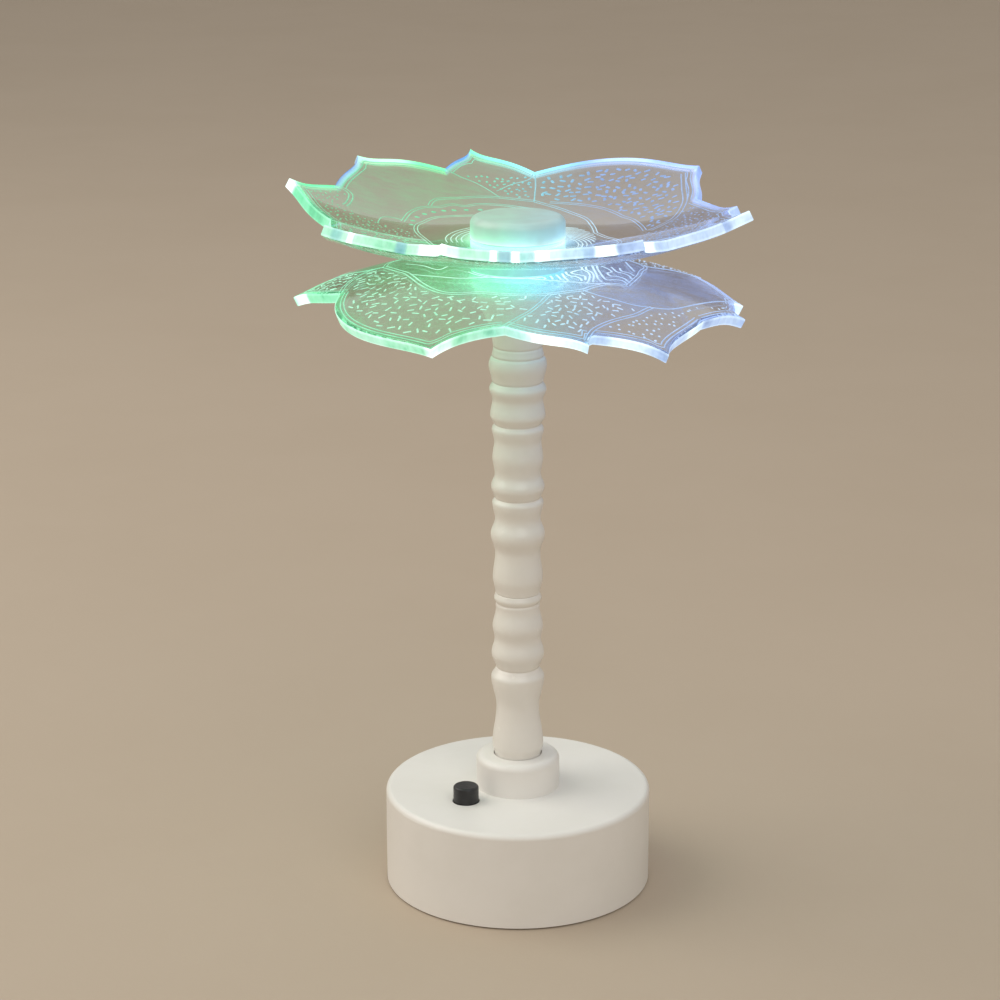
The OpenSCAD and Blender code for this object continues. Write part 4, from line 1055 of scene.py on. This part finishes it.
# The lower length: spigot, foot, turning, split, then down the socket to the bore for the leads
lower_profile = np.vstack([
    [[WIRE_R, SPIGOT_Z], [WIRE_R + HOLD, SPIGOT_Z], [SPIGOT_R - CHAMFER, SPIGOT_Z],
     [SPIGOT_R, SPIGOT_Z + CHAMFER], [SPIGOT_R, FOOT_SEAT - HOLD / 2], [SPIGOT_R, FOOT_SEAT],
     [FOOT_R - BEVEL, FOOT_SEAT], [FOOT_R, FOOT_SEAT + BEVEL]],
    eased_profile(LOWER_TURNING, LOWER_TURNING[0, 0], LOWER_TURNING[-1, 0] - SEAM_CLEAR),
    [[SPLIT_R - inward, SPLIT_Z - off] for inward, off in SEAM_CORNER],
    [[SOCKET_R + HOLD, SPLIT_Z], [SOCKET_R, SPLIT_Z], [SOCKET_R, SOCKET_Z + HOLD], [SOCKET_R, SOCKET_Z],
     [WIRE_R + HOLD, SOCKET_Z], [WIRE_R, SOCKET_Z], [WIRE_R, SOCKET_Z - HOLD]]])
# The upper length: plug, split, turning, plate seat, then down the tube's pocket to the bore
upper_profile = np.vstack([
    [[WIRE_R, SOCKET_Z + HOLD], [WIRE_R, SOCKET_Z + JOINT_FIT], [JOINT_R - HOLD, SOCKET_Z + JOINT_FIT],
     [JOINT_R, SOCKET_Z + 2 * HOLD], [JOINT_R, SPLIT_Z - HOLD / 2], [JOINT_R, SPLIT_Z]],
    [[SPLIT_R - inward, SPLIT_Z + off] for inward, off in reversed(SEAM_CORNER)],
    eased_profile(UPPER_TURNING, UPPER_TURNING[0, 0] + SEAM_CLEAR, UPPER_TURNING[-1, 0]),
    [[SEAT_R - HOLD, SEAT_Z - SEAT_T - HOLD], [SEAT_R, SEAT_Z - SEAT_T + HOLD], [SEAT_R, SEAT_Z - BEVEL],
     [SEAT_R - BEVEL * CORNER_PULL, SEAT_Z - BEVEL * CORNER_PULL], [SEAT_R - BEVEL, SEAT_Z],
     [TUBE_R + HOLD, SEAT_Z], [TUBE_R, SEAT_Z], [TUBE_R, SEAT_Z - HOLD], [TUBE_R, POCKET_Z + HOLD],
     [TUBE_R, POCKET_Z], [WIRE_R + HOLD, POCKET_Z], [WIRE_R, POCKET_Z], [WIRE_R, POCKET_Z - HOLD]]])
make_turning("column_lower_turning", lower_profile, "column_lower")
make_turning("column_upper_turning", upper_profile, "column_upper")

# Switch spring
SPRING_TURNS = 4
SPRING_WIRE_R = 0.25
WIRE_STEPS = 28
WIRE_SIDES = 10


def make_spring(name):
    """A round wire carried up a helix from the switch's floor to its plunger, with flat ends."""
    low, high = (np.array(corner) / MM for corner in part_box("switch_spring"))
    middle = (low + high) / 2
    turn = np.linspace(0, 2 * np.pi * SPRING_TURNS, SPRING_TURNS * WIRE_STEPS + 1)[:, None]
    rise = np.linspace(low[2] + SPRING_WIRE_R, high[2] - SPRING_WIRE_R, len(turn))[:, None]
    round_wire = np.linspace(0, 2 * np.pi, WIRE_SIDES, endpoint=False)[None, :]
    coil_r = (high[0] - low[0]) / 2 - SPRING_WIRE_R
    points = carried_round(coil_r + SPRING_WIRE_R * np.cos(round_wire),
                           rise + SPRING_WIRE_R * np.sin(round_wire), turn)
    points += (middle[0], middle[1], 0)
    count = len(turn) * WIRE_SIDES
    faces = [grid_quads(len(turn), WIRE_SIDES)[:, ::-1], np.arange(WIRE_SIDES)[None, :],
             np.arange(count - WIRE_SIDES, count)[None, ::-1]]
    piece = make_piece(name, points, faces, [SPRING], "base")
    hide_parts("switch_spring")
    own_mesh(piece)


make_spring("switch_spring_coil")

# Floor, light and camera
FLOOR_SIDES = 96
FLOOR_RINGS = 16
SWEEP_STEPS = 20
FLOOR_MIDDLE = 0.02
FLOOR_R = 6.0
SWEEP_R = 2.0
WALL_TOP = 3.0


def make_floor(name, material):
    """A round floor that sweeps up into a low wall: a profile of flat, quarter circle and upright."""
    sweep = np.linspace(0, np.pi / 2, SWEEP_STEPS)[1:]
    flat = np.linspace(FLOOR_MIDDLE, FLOOR_R, FLOOR_RINGS)
    radius = np.concatenate([flat, FLOOR_R + SWEEP_R * np.sin(sweep), [FLOOR_R + SWEEP_R]])
    height = np.concatenate([0 * flat, SWEEP_R - SWEEP_R * np.cos(sweep), [WALL_TOP]])
    turn = np.linspace(0, 2 * np.pi, FLOOR_SIDES, endpoint=False)[None, :]
    points = carried_round(radius[:, None], height[:, None], turn)
    faces = [grid_quads(len(radius), FLOOR_SIDES)[:, ::-1], np.arange(FLOOR_SIDES)[None, :]]
    return new_object(name, points, faces, [material])


def soft_lamp(name, place, aim, size, power, colour):
    """A square lamp, turned to shine at a point."""
    lamp = bpy.data.lights.new(name, "AREA")
    lamp.size = size
    lamp.energy = power
    lamp.color = colour
    holder = bpy.data.objects.new(name, lamp)
    holder.location = place
    way = np.asarray(aim, float) - np.asarray(place, float)
    tilt = math.atan2(math.hypot(way[0], way[1]), -way[2])
    holder.rotation_euler = (tilt, 0, math.atan2(-way[0], way[1]))
    bpy.context.scene.collection.objects.link(holder)


floor = make_floor("floor", skinned("pale_floor", (0.50, 0.415, 0.32), (0.49, 0.405, 0.31), 0.7, 0.1, 8.0,
                                    700.0, 0.0001))
soft_lamp("key_lamp", (-1.05, 0.10, 0.95), (0, 0, 0.08), 1.3, 10.5, (1.0, 0.95, 0.88))
soft_lamp("front_lamp", (0.5, -1.4, 1.1), (0, 0, 0.12), 1.4, 8.5, (1.0, 0.97, 0.94))
world = bpy.data.worlds.new("studio")
world.use_nodes = True
sky = world.node_tree.nodes["Background"].inputs
sky["Color"].default_value = (1.0, 0.98, 0.95, 1)
sky["Strength"].default_value = 0.58
bpy.context.scene.world = world

lens = bpy.data.cameras.new("camera")
lens.sensor_width = 36.0
lens.lens = 100.8
lens.shift_x = -0.0178
lens.clip_start = 0.01
lens.clip_end = 50
LOOK_DOWN = 17.12
camera = bpy.data.objects.new("camera", lens)
camera.location = (0, -0.789, 0.363)
camera.rotation_euler = (math.radians(90 - LOOK_DOWN), 0, 0)
bpy.context.scene.collection.objects.link(camera)
bpy.context.scene.camera = camera
bpy.context.scene.view_settings.view_transform = "Standard"
